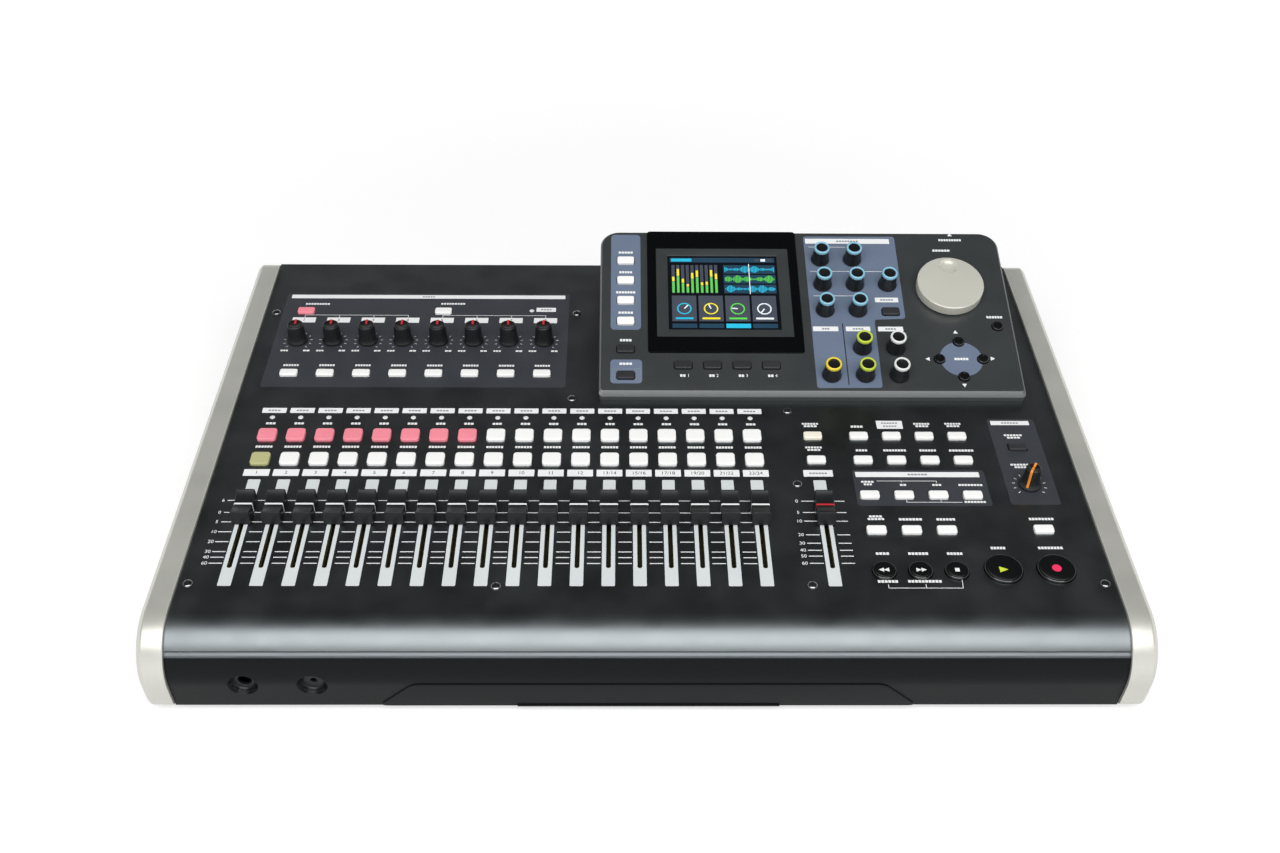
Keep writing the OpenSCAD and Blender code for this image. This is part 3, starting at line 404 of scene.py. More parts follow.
red_line = finish("red_line", (206, 40, 48), 0.45, mottle=0.05, grain=0.1)
orange_line = finish("orange_line", (236, 142, 38), 0.45, mottle=0.04, grain=0.1)
ring_blue = finish("ring_blue", (142, 198, 222), 0.3, mottle=0.04, grain=0.06)
ring_yellow = finish("ring_yellow", (236, 214, 52), 0.3, mottle=0.04, grain=0.06)
ring_green = finish("ring_green", (196, 216, 62), 0.3, mottle=0.04, grain=0.06)
ring_white = finish("ring_white", (232, 234, 232), 0.3, mottle=0.03, grain=0.06)
sign_green = finish("sign_green", (206, 222, 60), 0.4, mottle=0.03, grain=0.05)
sign_rose = finish("sign_rose", (236, 50, 100), 0.4, mottle=0.04, grain=0.05)
lamp_lens = finish("lamp_lens", (222, 224, 222), 0.2, mottle=0.04, grain=0.04)
chassis_paint = finish("chassis_paint", (44, 46, 49), 0.5, gloss=0.25, grain=0.3, grain_size=2600.0)
socket_plastic = finish("socket_plastic", (26, 27, 29), 0.4, gloss=0.35, mottle=0.08, grain=0.2)
board_lacquer = finish("board_lacquer", (66, 62, 40), 0.45, mottle=0.2, spread=160.0, grain=0.2)
foot_rubber = finish("foot_rubber", (24, 24, 25), 0.75, gloss=0.2, mottle=0.12,
                     grain=0.4, grain_size=1500.0)
print("finishes:", len(bpy.data.materials))

# %% [markdown]
# Keys, faders, knobs and the display stand in windows of the sheet. One list of spots feeds both the
# caps and the windows, so a cap can never miss its hole. A Boolean could cut the windows one by one,
# but one cutter with all the prisms in it is quicker.

# %% Key spots and windows
REC_V, SELECT_V, SOURCE_V, PHANTOM_V = 117.4, 96.8, 174.6, 238.2
KEY_W, KEY_H, KEY_GAP = 10.7, 1.6, 0.4
TALL_KEY, SMALL_KEY = (10.0, 1.9), (5.8, 1.3)
GRID_U = 123.5 + 19.1 * np.arange(4)
GRID_ROWS = [(117.5, 4), (96.8, 4), (67.9, 4), (40.6, 3)]
STEREO_U, SIDE_U = 96.8, 214.3

rec_spots = [(u, REC_V) for u in CHANNEL_U]
select_spots = [(u, SELECT_V) for u in CHANNEL_U]
source_spots = [(u, SOURCE_V) for u in INPUT_U]
phantom_spots = [(INPUT_U[0], PHANTOM_V), (INPUT_U[4], PHANTOM_V)]
grid_spots = [(u, v) for v, count in GRID_ROWS for u in GRID_U[:count]]
stereo_spots = [(STEREO_U, v) for v, count in GRID_ROWS[:2]]
monitor_key_spot, safe_key_spot = (SIDE_U, 108.0), (SIDE_U, 41.2)
small_spots = source_spots + phantom_spots + grid_spots + stereo_spots + [monitor_key_spot, safe_key_spot]

SMALL_ROUND, LARGE_ROUND, SMALL_ROUND_V, LARGE_ROUND_V, PLAY_U = 12.6, 20.0, 10.5, 11.8, 186.4
transport_spots = {
    "rewind_key": (GRID_U[0], SMALL_ROUND_V, SMALL_ROUND),
    "forward_key": (GRID_U[1], SMALL_ROUND_V, SMALL_ROUND),
    "stop_key": (GRID_U[2], SMALL_ROUND_V, SMALL_ROUND),
    "play_key": (PLAY_U, LARGE_ROUND_V, LARGE_ROUND),
    "record_key": (SIDE_U, LARGE_ROUND_V, LARGE_ROUND)}
MONITOR_SPOT = (SIDE_U, 76.4)
SLOT_W, SLOT_LOW, SLOT_HIGH, SLOT_CORNER = 2.6, 12.7, 66.3, 1.2
FADER_U = list(CHANNEL_U) + [STEREO_U]
KNOB_HOLE, HOLE_STEPS = 7.4, 24
PANEL_CUT = (-4, 4)


def key_window(size, spot):
    """A key's outline, larger by the gap on all sides."""
    length, corner = size
    return round_rect(KEY_W + 2 * KEY_GAP, length + 2 * KEY_GAP, corner + KEY_GAP, spot)


panel_windows = Stock()
for spots, size in ((rec_spots + select_spots, TALL_KEY), (small_spots, SMALL_KEY)):
    for spot in spots:
        panel_windows.slab(PANEL, key_window(size, spot), *PANEL_CUT)
for u, v, diameter in transport_spots.values():
    panel_windows.slab(PANEL, circle(diameter + 2 * KEY_GAP, (u, v)), *PANEL_CUT)
for u in FADER_U:
    slot_mid = (u, (SLOT_LOW + SLOT_HIGH) / 2)
    panel_windows.slab(PANEL, round_rect(SLOT_W, SLOT_HIGH - SLOT_LOW, SLOT_CORNER, slot_mid), *PANEL_CUT)
for spot in [(u, TRIM_V) for u in INPUT_U] + [MONITOR_SPOT]:
    panel_windows.slab(PANEL, circle(KNOB_HOLE, spot, HOLE_STEPS), *PANEL_CUT)
print("panel keys", len(rec_spots + select_spots + small_spots), "windows", len(panel_windows.points))

# %% [markdown]
# The control panel is one steel sheet with a rounded nose at its front. Its profile, a straight run and
# an arc, is carried across the whole width. The same could be a bent plane with Solidify, but the
# profile gives the arc exactly, so the soft highlight on the nose runs clean from cheek to cheek.

# %% Control panel
NOSE_R, SHEET_T, SEAM_TURN, CHEEK_RISE = 26.0, 1.2, 52.0, 2.0
PANEL_TILT = math.degrees(math.asin(PANEL.up[2]))
NOSE_Y = cad_box[0][1] / MM + CHEEK_RISE + NOSE_R
panel_low, panel_high = [np.array(corner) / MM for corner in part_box("top_panel")]
nose_v = (NOSE_Y - NOSE_R * PANEL.up[2] - PANEL.origin[1] / MM) / PANEL.up[1]
rear_v = (panel_high[1] - PANEL.origin[1] / MM) / PANEL.up[1]


def arc(centre, radius, first, last, steps):
    """Points about a centre from the first angle to the last, in degrees."""
    angle = np.radians(np.linspace(first, last, steps))
    return np.asarray(centre) + radius * np.stack([np.cos(angle), np.sin(angle)], -1)


def nose_profile():
    """A straight run up the slope and an arc of the nose radius, out along the face and back inside."""
    ray = arc((0.0, 0.0), 1.0, 90.0, 90.0 + SEAM_TURN - PANEL_TILT, 40)
    outer = np.array([nose_v, -NOSE_R]) + NOSE_R * ray
    inner = np.array([nose_v, -NOSE_R]) + (NOSE_R - SHEET_T) * ray[::-1]
    return np.concatenate([[[rear_v, 0.0]], outer, inner, [[rear_v, -SHEET_T]]])


def across(profile, left, right):
    """Two copies of a (v, h) profile, at the left and the right end of its run."""
    return np.stack([np.column_stack([np.full(len(profile), u), profile]) for u in (left, right)])


panel = Stock()
panel.loft(PANEL, across(nose_profile(), panel_low[0], panel_high[0]))
make("control_panel", panel, [panel_paint], "case", ["top_panel"], [panel_windows])
print("control panel", round(panel_high[0] - panel_low[0], 1), "mm wide")

# %% [markdown]
# Below the seam a moulded fascia carries the nose on and leans back to the desk. It is the nose's own
# arc and a straight leg, carried across the width. A small arc turns in at the seam as a lip, and two
# cone-shaped recesses for plugs are cut out of the leg by turned cutters.

# %% Front fascia
FASCIA_T, FASCIA_LEAN, SEAM_GAP, FOOT_H = 2.5, 8.0, 1.3, 4.5
LIP_R, LIP_TURN, LIP_T = 5.0, 34.0, 1.2
nose_z = (PANEL.at((0, nose_v, -NOSE_R)) / MM)[2]
lean = math.radians(FASCIA_LEAN)
FASCIA_NOSE = DrawingPlane((0.0, NOSE_Y * MM, nose_z * MM), (0.0, -math.sin(lean), math.cos(lean)))
leg = (nose_z - NOSE_R * math.sin(lean) - FOOT_H) / math.cos(lean)
fascia_turn = 90.0 + SEAM_TURN + SEAM_GAP - FASCIA_LEAN
fascia_turn += math.degrees(math.atan2(LIP_R * math.sin(math.radians(LIP_TURN)), NOSE_R))


def fascia_profile():
    """The nose arc from below the lip to its foremost line, then a straight leg, and back inside."""
    ray = arc((0.0, 0.0), 1.0, fascia_turn, 180.0, 30)
    toe = FASCIA_T * math.tan(lean)
    leg_ends = [[-NOSE_R, -leg], [FASCIA_T - NOSE_R, -leg - toe]]
    return np.concatenate([NOSE_R * ray, leg_ends, (NOSE_R - FASCIA_T) * ray[::-1]])


def lip_profile():
    """A small arc that leaves the nose arc at its tangent and turns in to the seam, and its inner side."""
    middle = (NOSE_R - LIP_R) * arc((0.0, 0.0), 1.0, fascia_turn, fascia_turn, 1)[0]
    ends = (fascia_turn - LIP_TURN, fascia_turn + 1.0)
    return np.concatenate([arc(middle, LIP_R, *ends, 14), arc(middle, LIP_R - LIP_T, *ends[::-1], 14)])


RECESS_MOUTH, RECESS_FLOOR, RECESS_DEPTH, SOCKET_Z = 15.5, 10.0, 4.0, 21.0
CUTTER_DEEP, CUTTER_PROUD = 9, 2
FRONT_SOCKETS = {"headphone": (-205.5, 6.55), "footswitch": (-170.5, 2.9)}
face_y = NOSE_Y - NOSE_R * math.cos(lean) + (nose_z - NOSE_R * math.sin(lean) - SOCKET_Z) * math.tan(lean)
FRONT = DrawingPlane((0.0, face_y * MM, SOCKET_Z * MM), (0.0, -1.0, 0.0))

fascia = Stock()
fascia.loft(FASCIA_NOSE, across(fascia_profile(), panel_low[0], panel_high[0]))
recess = Stock()
cone = (RECESS_MOUTH - RECESS_FLOOR) / RECESS_DEPTH / 2
for u, bore in FRONT_SOCKETS.values():
    mouth = RECESS_MOUTH / 2 + CUTTER_PROUD * cone
    cutter_profile = [(bore / 2, -CUTTER_DEEP), (RECESS_FLOOR / 2, -RECESS_DEPTH), (mouth, CUTTER_PROUD)]
    recess.turned(FRONT, (u, 0), cutter_profile)
make("fascia_shell", fascia, [fascia_plastic], "case", ["front_fascia"], [recess])
seam_lip = Stock()
seam_lip.loft(FASCIA_NOSE, across(lip_profile(), panel_low[0], panel_high[0]))
make("seam_lip", seam_lip, [lip_paint], "case")
print("fascia leg", round(leg, 2), "mm")

# %% [markdown]
# Each plug enters through a moulded cup behind its recess. The cup is turned in one go: an outer wall,
# the cone and its floor, and a small chamfer into the bore.

# %% Socket cups
CUP_WALL, CUP_TOP, CUP_DEEP, BORE_RIM, BORE_CHAMFER = 1.2, 1.9, 6, 0.6, 0.5
cups = Stock()
wall = RECESS_MOUTH / 2 + CUP_WALL
for u, bore in FRONT_SOCKETS.values():
    cups.turned(FRONT, (u, 0), [
        (wall, -CUP_DEEP), (wall, -CUP_TOP), (RECESS_MOUTH / 2 - CUP_TOP * cone, -CUP_TOP),
        (RECESS_FLOOR / 2, -RECESS_DEPTH), (bore / 2 + BORE_RIM, -RECESS_DEPTH),
        (bore / 2, -RECESS_DEPTH - BORE_CHAMFER), (bore / 2, -CUP_DEEP)])
make("socket_cups", cups, [socket_plastic], "case")
print("socket cups", len(FRONT_SOCKETS))

# %% [markdown]
# A shallow pad with sloping ends stands on the fascia's leg, and a thin lip lies along its foot. Both
# are stacks of rings on the leaning face, so the pad's edge can be eased ring by ring.

# %% Fascia pad
PAD_TOP, PAD_FOOT, PAD_H, PAD_T, PAD_START, PAD_EASE = 240.0, 277.0, 19.0, 0.6, 0.2, 4.0
PAD_LIP_W, PAD_LIP_H, PAD_LIP_V, PAD_LIP_LOW, PAD_LIP_CORNER = 135.0, 1.2, 0.8, 0.3, 0.4
PAD_EDGE = [(-0.3, 0), (0.4, 0), (0.55, 0.15), (PAD_T, 0.5)]
toe_point = FASCIA_NOSE.at((0, -NOSE_R, -leg))
PAD = DrawingPlane(toe_point, -FASCIA_NOSE.up)


def pad_outline(inset):
    """A low trapezoid with eased corners, its sides and top moved in by the inset."""
    wide, slim, top = PAD_FOOT / 2 - inset, PAD_TOP / 2 - inset, PAD_H - inset
    return eased([(wide, PAD_START), (slim, top), (-slim, top), (-wide, PAD_START)], PAD_EASE)


pad = Stock()
pad.loft(PAD, np.stack([lift(pad_outline(inset), level) for level, inset in PAD_EDGE]))
pad_lip = round_rect(PAD_LIP_W, PAD_LIP_H, PAD_LIP_CORNER, (0, PAD_LIP_V))
pad.slab(PAD, pad_lip, PAD_LIP_LOW, 2 * PAD_T)
make("fascia_pad", pad, [fascia_plastic], "case")
print("fascia pad", PAD_FOOT, "mm at its foot")

# %% [markdown]
# The end cheeks are cast metal with a satin silver coat. Each is the side outline of the case, drawn
# as one closed curve, and stacked outwards along x; near the outer face the outline shrinks along a
# bevel with eased ends, which gives the outer edge its own crisp band of light.

# %% End cheeks
CHEEK_CORNER, CHEEK_TOE = 8.0, 5.5
CHEEK_STEPS = [(0.0, 0.3), (0.3, 0.0), (10.4, 0.0), (10.9, 0.06), (11.3, 0.24), (11.7, 0.55),
               (13.3, 2.15), (13.65, 2.6), (13.88, 3.1), (14.0, 3.7)]
REAR_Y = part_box("right_end_cheek")[1][1] / MM
inner_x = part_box("right_end_cheek")[0][0] / MM


def cheek_outline(inset):
    """Side view in (y, z), inset: rear corner arc, straight top, nose arc, leaning front and toe arc."""
    rise = CHEEK_RISE - inset
    datum = PANEL.origin / MM
    tilt = math.radians(PANEL_TILT)
    corner_y = REAR_Y - CHEEK_CORNER
    top_z = datum[2] + (corner_y - datum[1]) * math.tan(tilt)
    corner_z = top_z + (CHEEK_RISE - CHEEK_CORNER) / math.cos(tilt)
    rear = arc((corner_y, corner_z), CHEEK_CORNER - inset, 0.0, 90.0 + PANEL_TILT, 14)
    nose = arc((NOSE_Y, nose_z), NOSE_R + rise, 90.0 + PANEL_TILT, 180.0 + FASCIA_LEAN, 48)
    bottom = FOOT_H + inset
    toe_r = CHEEK_TOE - inset
    toe_y = nose[-1][0] + (nose[-1][1] - bottom) * math.tan(lean) + toe_r * math.tan(math.pi / 4 - lean / 2)
    toe = arc((toe_y, bottom + toe_r), toe_r, 180.0 + FASCIA_LEAN, 270.0, 10)
    return np.concatenate([[[REAR_Y - inset, bottom]], rear, nose, toe])


for side, name in ((-1, "left"), (1, "right")):
    cheek, rings = Stock(), []
    for x, inset in CHEEK_STEPS:
        outline = cheek_outline(inset)
        rings.append(np.column_stack([np.full(len(outline), side * (inner_x + x)), outline]))
    cheek.loft(WORLD, np.stack(rings))
    make(f"{name}_cheek_casting", cheek, [cheek_metal], "case", [f"{name}_end_cheek"])
print("cheek inner face at", round(inner_x, 2), "mm")

# %% [markdown]
# The display housing carries the display, four mode keys and seven dark ones, five round keys, twelve
# encoders and the jog wheel. As on the panel, one list of spots serves the windows, the caps and the
# marks. The display's window is large, so it gets a cutter of its own.

# %% Housing spots and windows
DISPLAY_U, BEZEL_W, BEZEL_L, BEZEL_LOW = 49.5, 95.4, 97.6, 30.0
WINDOW_W, WINDOW_L, WINDOW_LOW = 84.5, 71.6, 42.0
window_mid = (DISPLAY_U, WINDOW_LOW + WINDOW_L / 2)

MODE_U, MODE_V, MENU_V, HOME_V = -11.8, (103.3, 87.1, 70.9, 54.5), 33.0, 13.2
mode_spots = [(MODE_U, v) for v in MODE_V]
dark_spots = [(MODE_U, MENU_V), (MODE_U, HOME_V), (152.8, 62.6)]
dark_spots += [(22.9 + 17.75 * i, 20.9) for i in range(4)]
CURSOR_D, CURSOR_SPOT, CURSOR_R = 6.6, (191.9, 26.0), 13.2
CROSS = ((1, 0), (0, 1), (-1, 0), (0, -1))
round_spots = [(217.6, 51.2)]
round_spots += [(CURSOR_SPOT[0] + CURSOR_R * a, CURSOR_SPOT[1] + CURSOR_R * b) for a, b in CROSS]
ENC_U, ENC_V, ENC_STEP_U, ENC_STEP_V = 112.0, 63.5, 20.4, 20.6
eq_spots = [(ENC_U + ENC_STEP_U * a, ENC_V + ENC_STEP_V * b)
            for a, b in ((0, 2), (1, 2), (0, 1), (1, 1), (2, 1), (0, 0), (1, 0))]
pan_spot = (112.0, 13.6)
send_spots, master_spots = [(132.4, 34.0), (132.4, 13.6)], [(152.8, 34.0), (152.8, 13.6)]

HOUSE_CUT, CURSOR_STEPS, WINDOW_CORNER = (-5, 4), 28, 0.5
house_windows = Stock()
for spot in mode_spots + dark_spots:
    house_windows.slab(HOUSE, key_window(SMALL_KEY, spot), *HOUSE_CUT)
for spot in round_spots:
    house_windows.slab(HOUSE, circle(CURSOR_D + 2 * KEY_GAP, spot, CURSOR_STEPS), *HOUSE_CUT)
for spot in eq_spots + [pan_spot] + send_spots + master_spots + [JOG_SPOT]:
    house_windows.slab(HOUSE, circle(KNOB_HOLE, spot, HOLE_STEPS), *HOUSE_CUT)
display_window = Stock()
display_window.slab(HOUSE, round_rect(WINDOW_W, WINDOW_L, WINDOW_CORNER, window_mid), *HOUSE_CUT)
print("housing windows", len(house_windows.points) + len(display_window.points))

# %% [markdown]
# The housing is a moulded wedge that stands on the panel. Its rings follow the plan outline: the lowest
# ring lies in the panel's slope, and the top rings shrink along a bevel, wide at the front edge and
# narrow at the sides, so the front edge catches a broad band of light. The bevel's faces also take a
# lighter copy of the housing plastic, a painted highlight.

# %% Display housing
HOUSE_W, HOUSE_L, HOUSE_U, HOUSE_RISE, HOUSE_CORNER = 255.6, 128.4, 100.0, 5.5, 12.0
FRONT_EASE, SIDE_EASE, FRONT_CORNER, SEAT = 2.6, 1.2, 2.0, 0.1
BEVEL_STEPS = [(0.0, 1.0), (0.03, 0.88), (0.1, 0.79), (0.79, 0.1), (0.88, 0.03), (1.0, 0.0)]
# The bands of the bevel that take the lighter copy of the plastic, a painted highlight.
BEVEL_HIGHLIGHT_TONES = [0, 1, 1, 1, 1, 0]
bevel = math.asin(float(np.dot(PANEL.out, HOUSE.up)))


def house_outline(front, side, rear, corner_inset):
    """Plan of the housing: front and side lines, large rear corners and small front corners."""
    half, low, high = HOUSE_W / 2 - side, front, HOUSE_L - rear
    big, small = HOUSE_CORNER - corner_inset, FRONT_CORNER
    return np.concatenate([
        arc((HOUSE_U + half - big, high - big), big, 0, 90, 12),
        arc((HOUSE_U - half + big, high - big), big, 90, 180, 12),
        arc((HOUSE_U - half + small, low + small), small, 180, 270, 8),
        arc((HOUSE_U + half - small, low + small), small, 270, 360, 8)])


def house_rings():
    """A ring in the panel's slope, then rings up a flat bevel with eased ends, wider at the front edge."""
    front_w, front_h = -HOUSE_RISE * math.sin(bevel), -HOUSE_RISE * math.cos(bevel)
    foot = house_outline(front_w, 0.0, 0.0, 0.0)
    slope = front_h - (foot[:, 1] - front_w) * math.tan(bevel) + SEAT / math.cos(bevel)
    rings = [np.column_stack([foot, slope])]
    for inset, drop in BEVEL_STEPS:
        outline = house_outline(FRONT_EASE * (inset - drop * math.tan(bevel)), SIDE_EASE * inset,
                                SIDE_EASE * inset, SIDE_EASE * inset)
        front_share = np.clip(1 - (outline[:, 1] - outline[:, 1].min()) / FRONT_CORNER, 0, 1)
        ease = SIDE_EASE + (FRONT_EASE - SIDE_EASE) * front_share
        rings.append(np.column_stack([outline, -ease * drop]))
    return np.stack(rings)


housing = Stock()
housing.loft(HOUSE, house_rings(), BEVEL_HIGHLIGHT_TONES)
make("housing_shell", housing, [housing_plastic, housing_painted_highlight], "case",
     ["display_housing"], [house_windows, display_window])
print("housing stands", round(math.degrees(bevel), 2), "degrees steeper than the panel")

# %% [markdown]
# A gloss black bezel frames the display. It is one hoop of rings with a fine eased edge, outside and
# inside. The display module's grey surround is a second hoop, a little lower in the window.

# %% Bezel and surround
BEZEL_CORNER, WINDOW_SLACK = 2.0, 0.2
BEZEL_EDGE = [(0.02, 0), (0.85, 0), (1.12, 0.1), (1.24, 0.4)]
WINDOW_EDGE = [(1.24, 0.5), (1.1, 0.1), (0.8, 0), (-2.2, 0)]
bezel_mid = (DISPLAY_U, BEZEL_LOW + BEZEL_L / 2)
bezel_rings = []
for level, inset in BEZEL_EDGE:
    outline = round_rect(BEZEL_W - 2 * inset, BEZEL_L - 2 * inset, BEZEL_CORNER, bezel_mid)
    bezel_rings.append(lift(outline, level))
for level, ease in WINDOW_EDGE:
    sides = (WINDOW_W - WINDOW_SLACK + 2 * ease, WINDOW_L - WINDOW_SLACK + 2 * ease)
    bezel_rings.append(lift(round_rect(*sides, WINDOW_CORNER + ease, window_mid), level))
bezel = Stock()
bezel.loft(HOUSE, np.stack(bezel_rings), hoop=True)
make("bezel_frame", bezel, [bezel_gloss], "case", ["display_bezel"])

SCREEN_W, SCREEN_L, SCREEN_CORNER, SURROUND_H, SURROUND_LOW = 69.6, 59.4, 0.5, 0.6, -3.0
SCREEN_RIM, RIM_CORNER, RIM_DEEP, SURROUND_SLACK = 0.4, 0.7, 0.3, 0.2
surround = Stock()
opening = round_rect(SCREEN_W, SCREEN_L, SCREEN_CORNER, window_mid)
rim = round_rect(SCREEN_W + 2 * SCREEN_RIM, SCREEN_L + 2 * SCREEN_RIM, RIM_CORNER, window_mid)
edge = round_rect(WINDOW_W - 2 * SURROUND_SLACK, WINDOW_L - 2 * SURROUND_SLACK, WINDOW_CORNER, window_mid)
steps_in = [(edge, SURROUND_LOW), (edge, SURROUND_H), (rim, SURROUND_H),
            (opening, SURROUND_H - RIM_DEEP), (opening, SURROUND_LOW)]
surround.loft(HOUSE, np.stack([lift(outline, level) for outline, level in steps_in]), hoop=True)
make("display_surround", surround, [frame_grey], "case", ["lcd_panel"])
print("display window", WINDOW_W, "by", WINDOW_L, "mm")

# %% [markdown]
# The display shows a made-up picture of meters, waves and dials. It could be painted as an image, but
# thin tiles that glow by themselves stay sharp at any distance and need no file.

# %% Display tiles
PICTURE_H, PICTURE_LOW, TILE_SINK, LAYER_H = 0.25, -2.6, 0.05, 0.02
TILE_CORNER, GROUND_SLACK, GROUND_CORNER = 0.2, 0.1, 0.4
tile_colours = {"night": (13, 15, 20), "cyan": (40, 168, 200), "yellow": (228, 208, 40),
                "green": (84, 190, 70), "pale": (214, 220, 222), "slate": (62, 68, 78),
                "steel": (34, 60, 78)}
tile_finish = [finish(f"tile_{name}", colour, 0.3, gloss=0.15, mottle=0.05, grain=0.03, glow=0.35)
               for name, colour in tile_colours.items()]
NIGHT, CYAN, YELLOW, GREEN, PALE, SLATE, STEEL = range(7)
picture = Stock()
ground = round_rect(SCREEN_W - GROUND_SLACK, SCREEN_L - GROUND_SLACK, GROUND_CORNER, window_mid)
picture.slab(HOUSE, ground, PICTURE_LOW, PICTURE_H, NIGHT)


def glowing(outline, tone, layer):
    """A thin tile with the given outline, on one of three layers above the picture's ground."""
    picture.slab(HOUSE, outline, PICTURE_H - TILE_SINK, PICTURE_H + LAYER_H * layer, tone)


def tile(left, low, right, high, tone, layer=1):
    """A glowing rectangle from its left low to its right high corner."""
    glowing(corner_rect(left, low, right, high, TILE_CORNER, 3), tone, layer)


print("tile colours", len(tile_finish))

# %% [markdown]
# The upper half of the picture has a title bar, ten level meters and three lanes of sound waves. Sines
# give the meters and the waves their uneven heights, so no height has to be written by hand.

# %% Meters and waves
PICTURE_LEFT, PICTURE_RIGHT, TITLE_LOW, TITLE_HIGH = 16.2, 82.8, 102.2, 106.0
METERS, METER_U, METER_STEP, METER_W, METER_INSET = 10, 17.2, 3.0, 2.0, 0.3
METER_LOW, METER_HIGH, METER_GAP, GREEN_SHARE = 77.0, 100.0, 0.4, 0.7
LANE_U, LANE_STEP, LANE_H = 50.0, 8.0, 7.0
WAVES, WAVE_U, WAVE_STEP, WAVE_W = 36, 50.8, 0.88, 0.55

tile(PICTURE_LEFT, TITLE_LOW, PICTURE_RIGHT, TITLE_HIGH, STEEL)
tile(17.0, 102.9, 30.0, 105.3, CYAN, 2)
for i in range(3):
    tile(70.0 + 4 * i, 103.1, 73.0 + 4 * i, 105.1, PALE if i == 1 else SLATE, 2)
meter_tops = 6.0 + 13.0 * (0.5 + 0.5 * np.sin(1.7 * np.arange(METERS)))
for i, top in enumerate(meter_tops):
    left = METER_U + METER_STEP * i
    right = left + METER_W
    foot = METER_LOW + METER_GAP
    tile(left, METER_LOW, right, METER_HIGH, SLATE)
    left, right = left + METER_INSET, right - METER_INSET
    tile(left, foot, right, foot + GREEN_SHARE * top, GREEN, 2)
    tile(left, foot + METER_GAP + GREEN_SHARE * top, right, foot + METER_GAP + top, YELLOW, 2)
beat = np.arange(WAVES)
for lane, tone in enumerate((CYAN, GREEN, CYAN)):
    low = METER_LOW + LANE_STEP * lane
    middle = low + LANE_H / 2
    tile(LANE_U, low, PICTURE_RIGHT, low + LANE_H, STEEL)
    swing = 0.5 + 2.6 * np.abs(np.sin(0.42 * beat + lane) * np.cos(0.13 * beat + 2 * lane))
    for i, reach in enumerate(swing):
        left = WAVE_U + WAVE_STEP * i
        tile(left, middle - reach, left + WAVE_W, middle + reach, tone, 2)
tile(66.0, 76.4, 66.5, 101.0, PALE, 3)
print("tiles of the upper half", len(picture.points))

# %% [markdown]
# Below them stand four dials, each a ring with a pale hand on a slate card, and a row of soft buttons.

# %% Dials on the display
DIAL_U, DIAL_V, DIAL_STEP, DIAL_OUTER, DIAL_INNER = 24.6, 64.6, 16.6, 9.0, 7.4
HAND_REACH, HAND_W, HAND_FIRST, HAND_STEP = 3.6, 0.8, 50.0, 62.0
CARD_HALF, CARD_LOW, CARD_HIGH = 7.6, 54.6, 75.0
LABEL_HALF, LABEL_LOW, LABEL_HIGH, BUTTON_LOW, BUTTON_HIGH = 5.5, 56.2, 57.6, 49.4, 52.8
dial_high = PICTURE_H + LAYER_H * 2
for i, tone in enumerate((CYAN, YELLOW, GREEN, PALE)):
    u = DIAL_U + DIAL_STEP * i
    spot = (u, DIAL_V)
    tile(u - CARD_HALF, CARD_LOW, u + CARD_HALF, CARD_HIGH, SLATE)
    ring = (circle(DIAL_OUTER, spot), circle(DIAL_INNER, spot))
    picture.band(HOUSE, *ring, PICTURE_H - TILE_SINK, dial_high, tone)
    lean_to = np.radians(HAND_FIRST + HAND_STEP * i)
    tip = (u + HAND_REACH * math.cos(lean_to), DIAL_V + HAND_REACH * math.sin(lean_to))
    glowing(stroke(spot, tip, HAND_W), PALE, 3)
    tile(u - LABEL_HALF, LABEL_LOW, u + LABEL_HALF, LABEL_HIGH, tone, 2)
    tile(u - CARD_HALF, BUTTON_LOW, u + CARD_HALF, BUTTON_HIGH, CYAN if i == 2 else STEEL)
make("display_picture", picture, tile_finish, "case")
print("picture tiles", len(picture.points))

# %% [markdown]
# A fader cap is a small saddle: the thumb rests in an arc between two raised ends. Its cross-section
# is a box with rounded top edges, carried along the cap while the top follows the arc, and the ends
# lean inwards with height. The white line is simply the narrow band of rings at the lowest point.

# %% Fader caps
CAP_L, CAP_W, CAP_LOW, CAP_TOP, SADDLE, CAP_EDGE, CAP_DRAFT = 20.0, 10.0, 0.8, 9.4, 2.8, 0.7, 0.1
FADER_V, LEVER_W, LEVER_L, LEVER_LOW, LEVER_HIGH = 54.0, 1.0, 5.0, -6.0, 1.5
CAP_LINE_HALF, LEVER_CORNER = 0.65, 0.2


def saddle_rings(u, v):
    """Cross-sections along the cap; top = arc of the saddle less the rounded drop near both ends."""
    end = np.array([9.2, 9.5, 9.75, 9.9, 10.0])
    half = np.concatenate([[CAP_LINE_HALF], np.linspace(0.9, 8.7, 9), end])
    run = np.concatenate([-half[::-1], half])
    bow = (CAP_L**2 / 4 + SADDLE**2) / (2 * SADDLE)
    past = np.clip(np.abs(run) - (CAP_L / 2 - CAP_EDGE), 0, CAP_EDGE)
    top = CAP_TOP - SADDLE + bow - np.sqrt(bow**2 - run**2) - CAP_EDGE + np.sqrt(CAP_EDGE**2 - past**2)
    turn = np.linspace(0, np.pi / 2, 5)
    wide = CAP_W / 2 - CAP_EDGE
    side = np.concatenate([[-CAP_W / 2], -wide - CAP_EDGE * np.cos(turn),
                           wide + CAP_EDGE * np.sin(turn), [CAP_W / 2]])
    fall = np.concatenate([-CAP_EDGE + CAP_EDGE * np.sin(turn), -CAP_EDGE + CAP_EDGE * np.cos(turn)])
    low = np.full((len(run), 1), CAP_LOW)
    level = np.concatenate([low, top[:, None] + fall[None, :], low], axis=1)
    along = run[:, None] * (1 - CAP_DRAFT * (level - CAP_LOW) / (CAP_TOP - CAP_LOW))
    tone = (np.arange(len(run) - 1) == len(half) - 1).astype(int)
    return np.stack([np.broadcast_to(u + side, level.shape), v + along, level], -1), tone


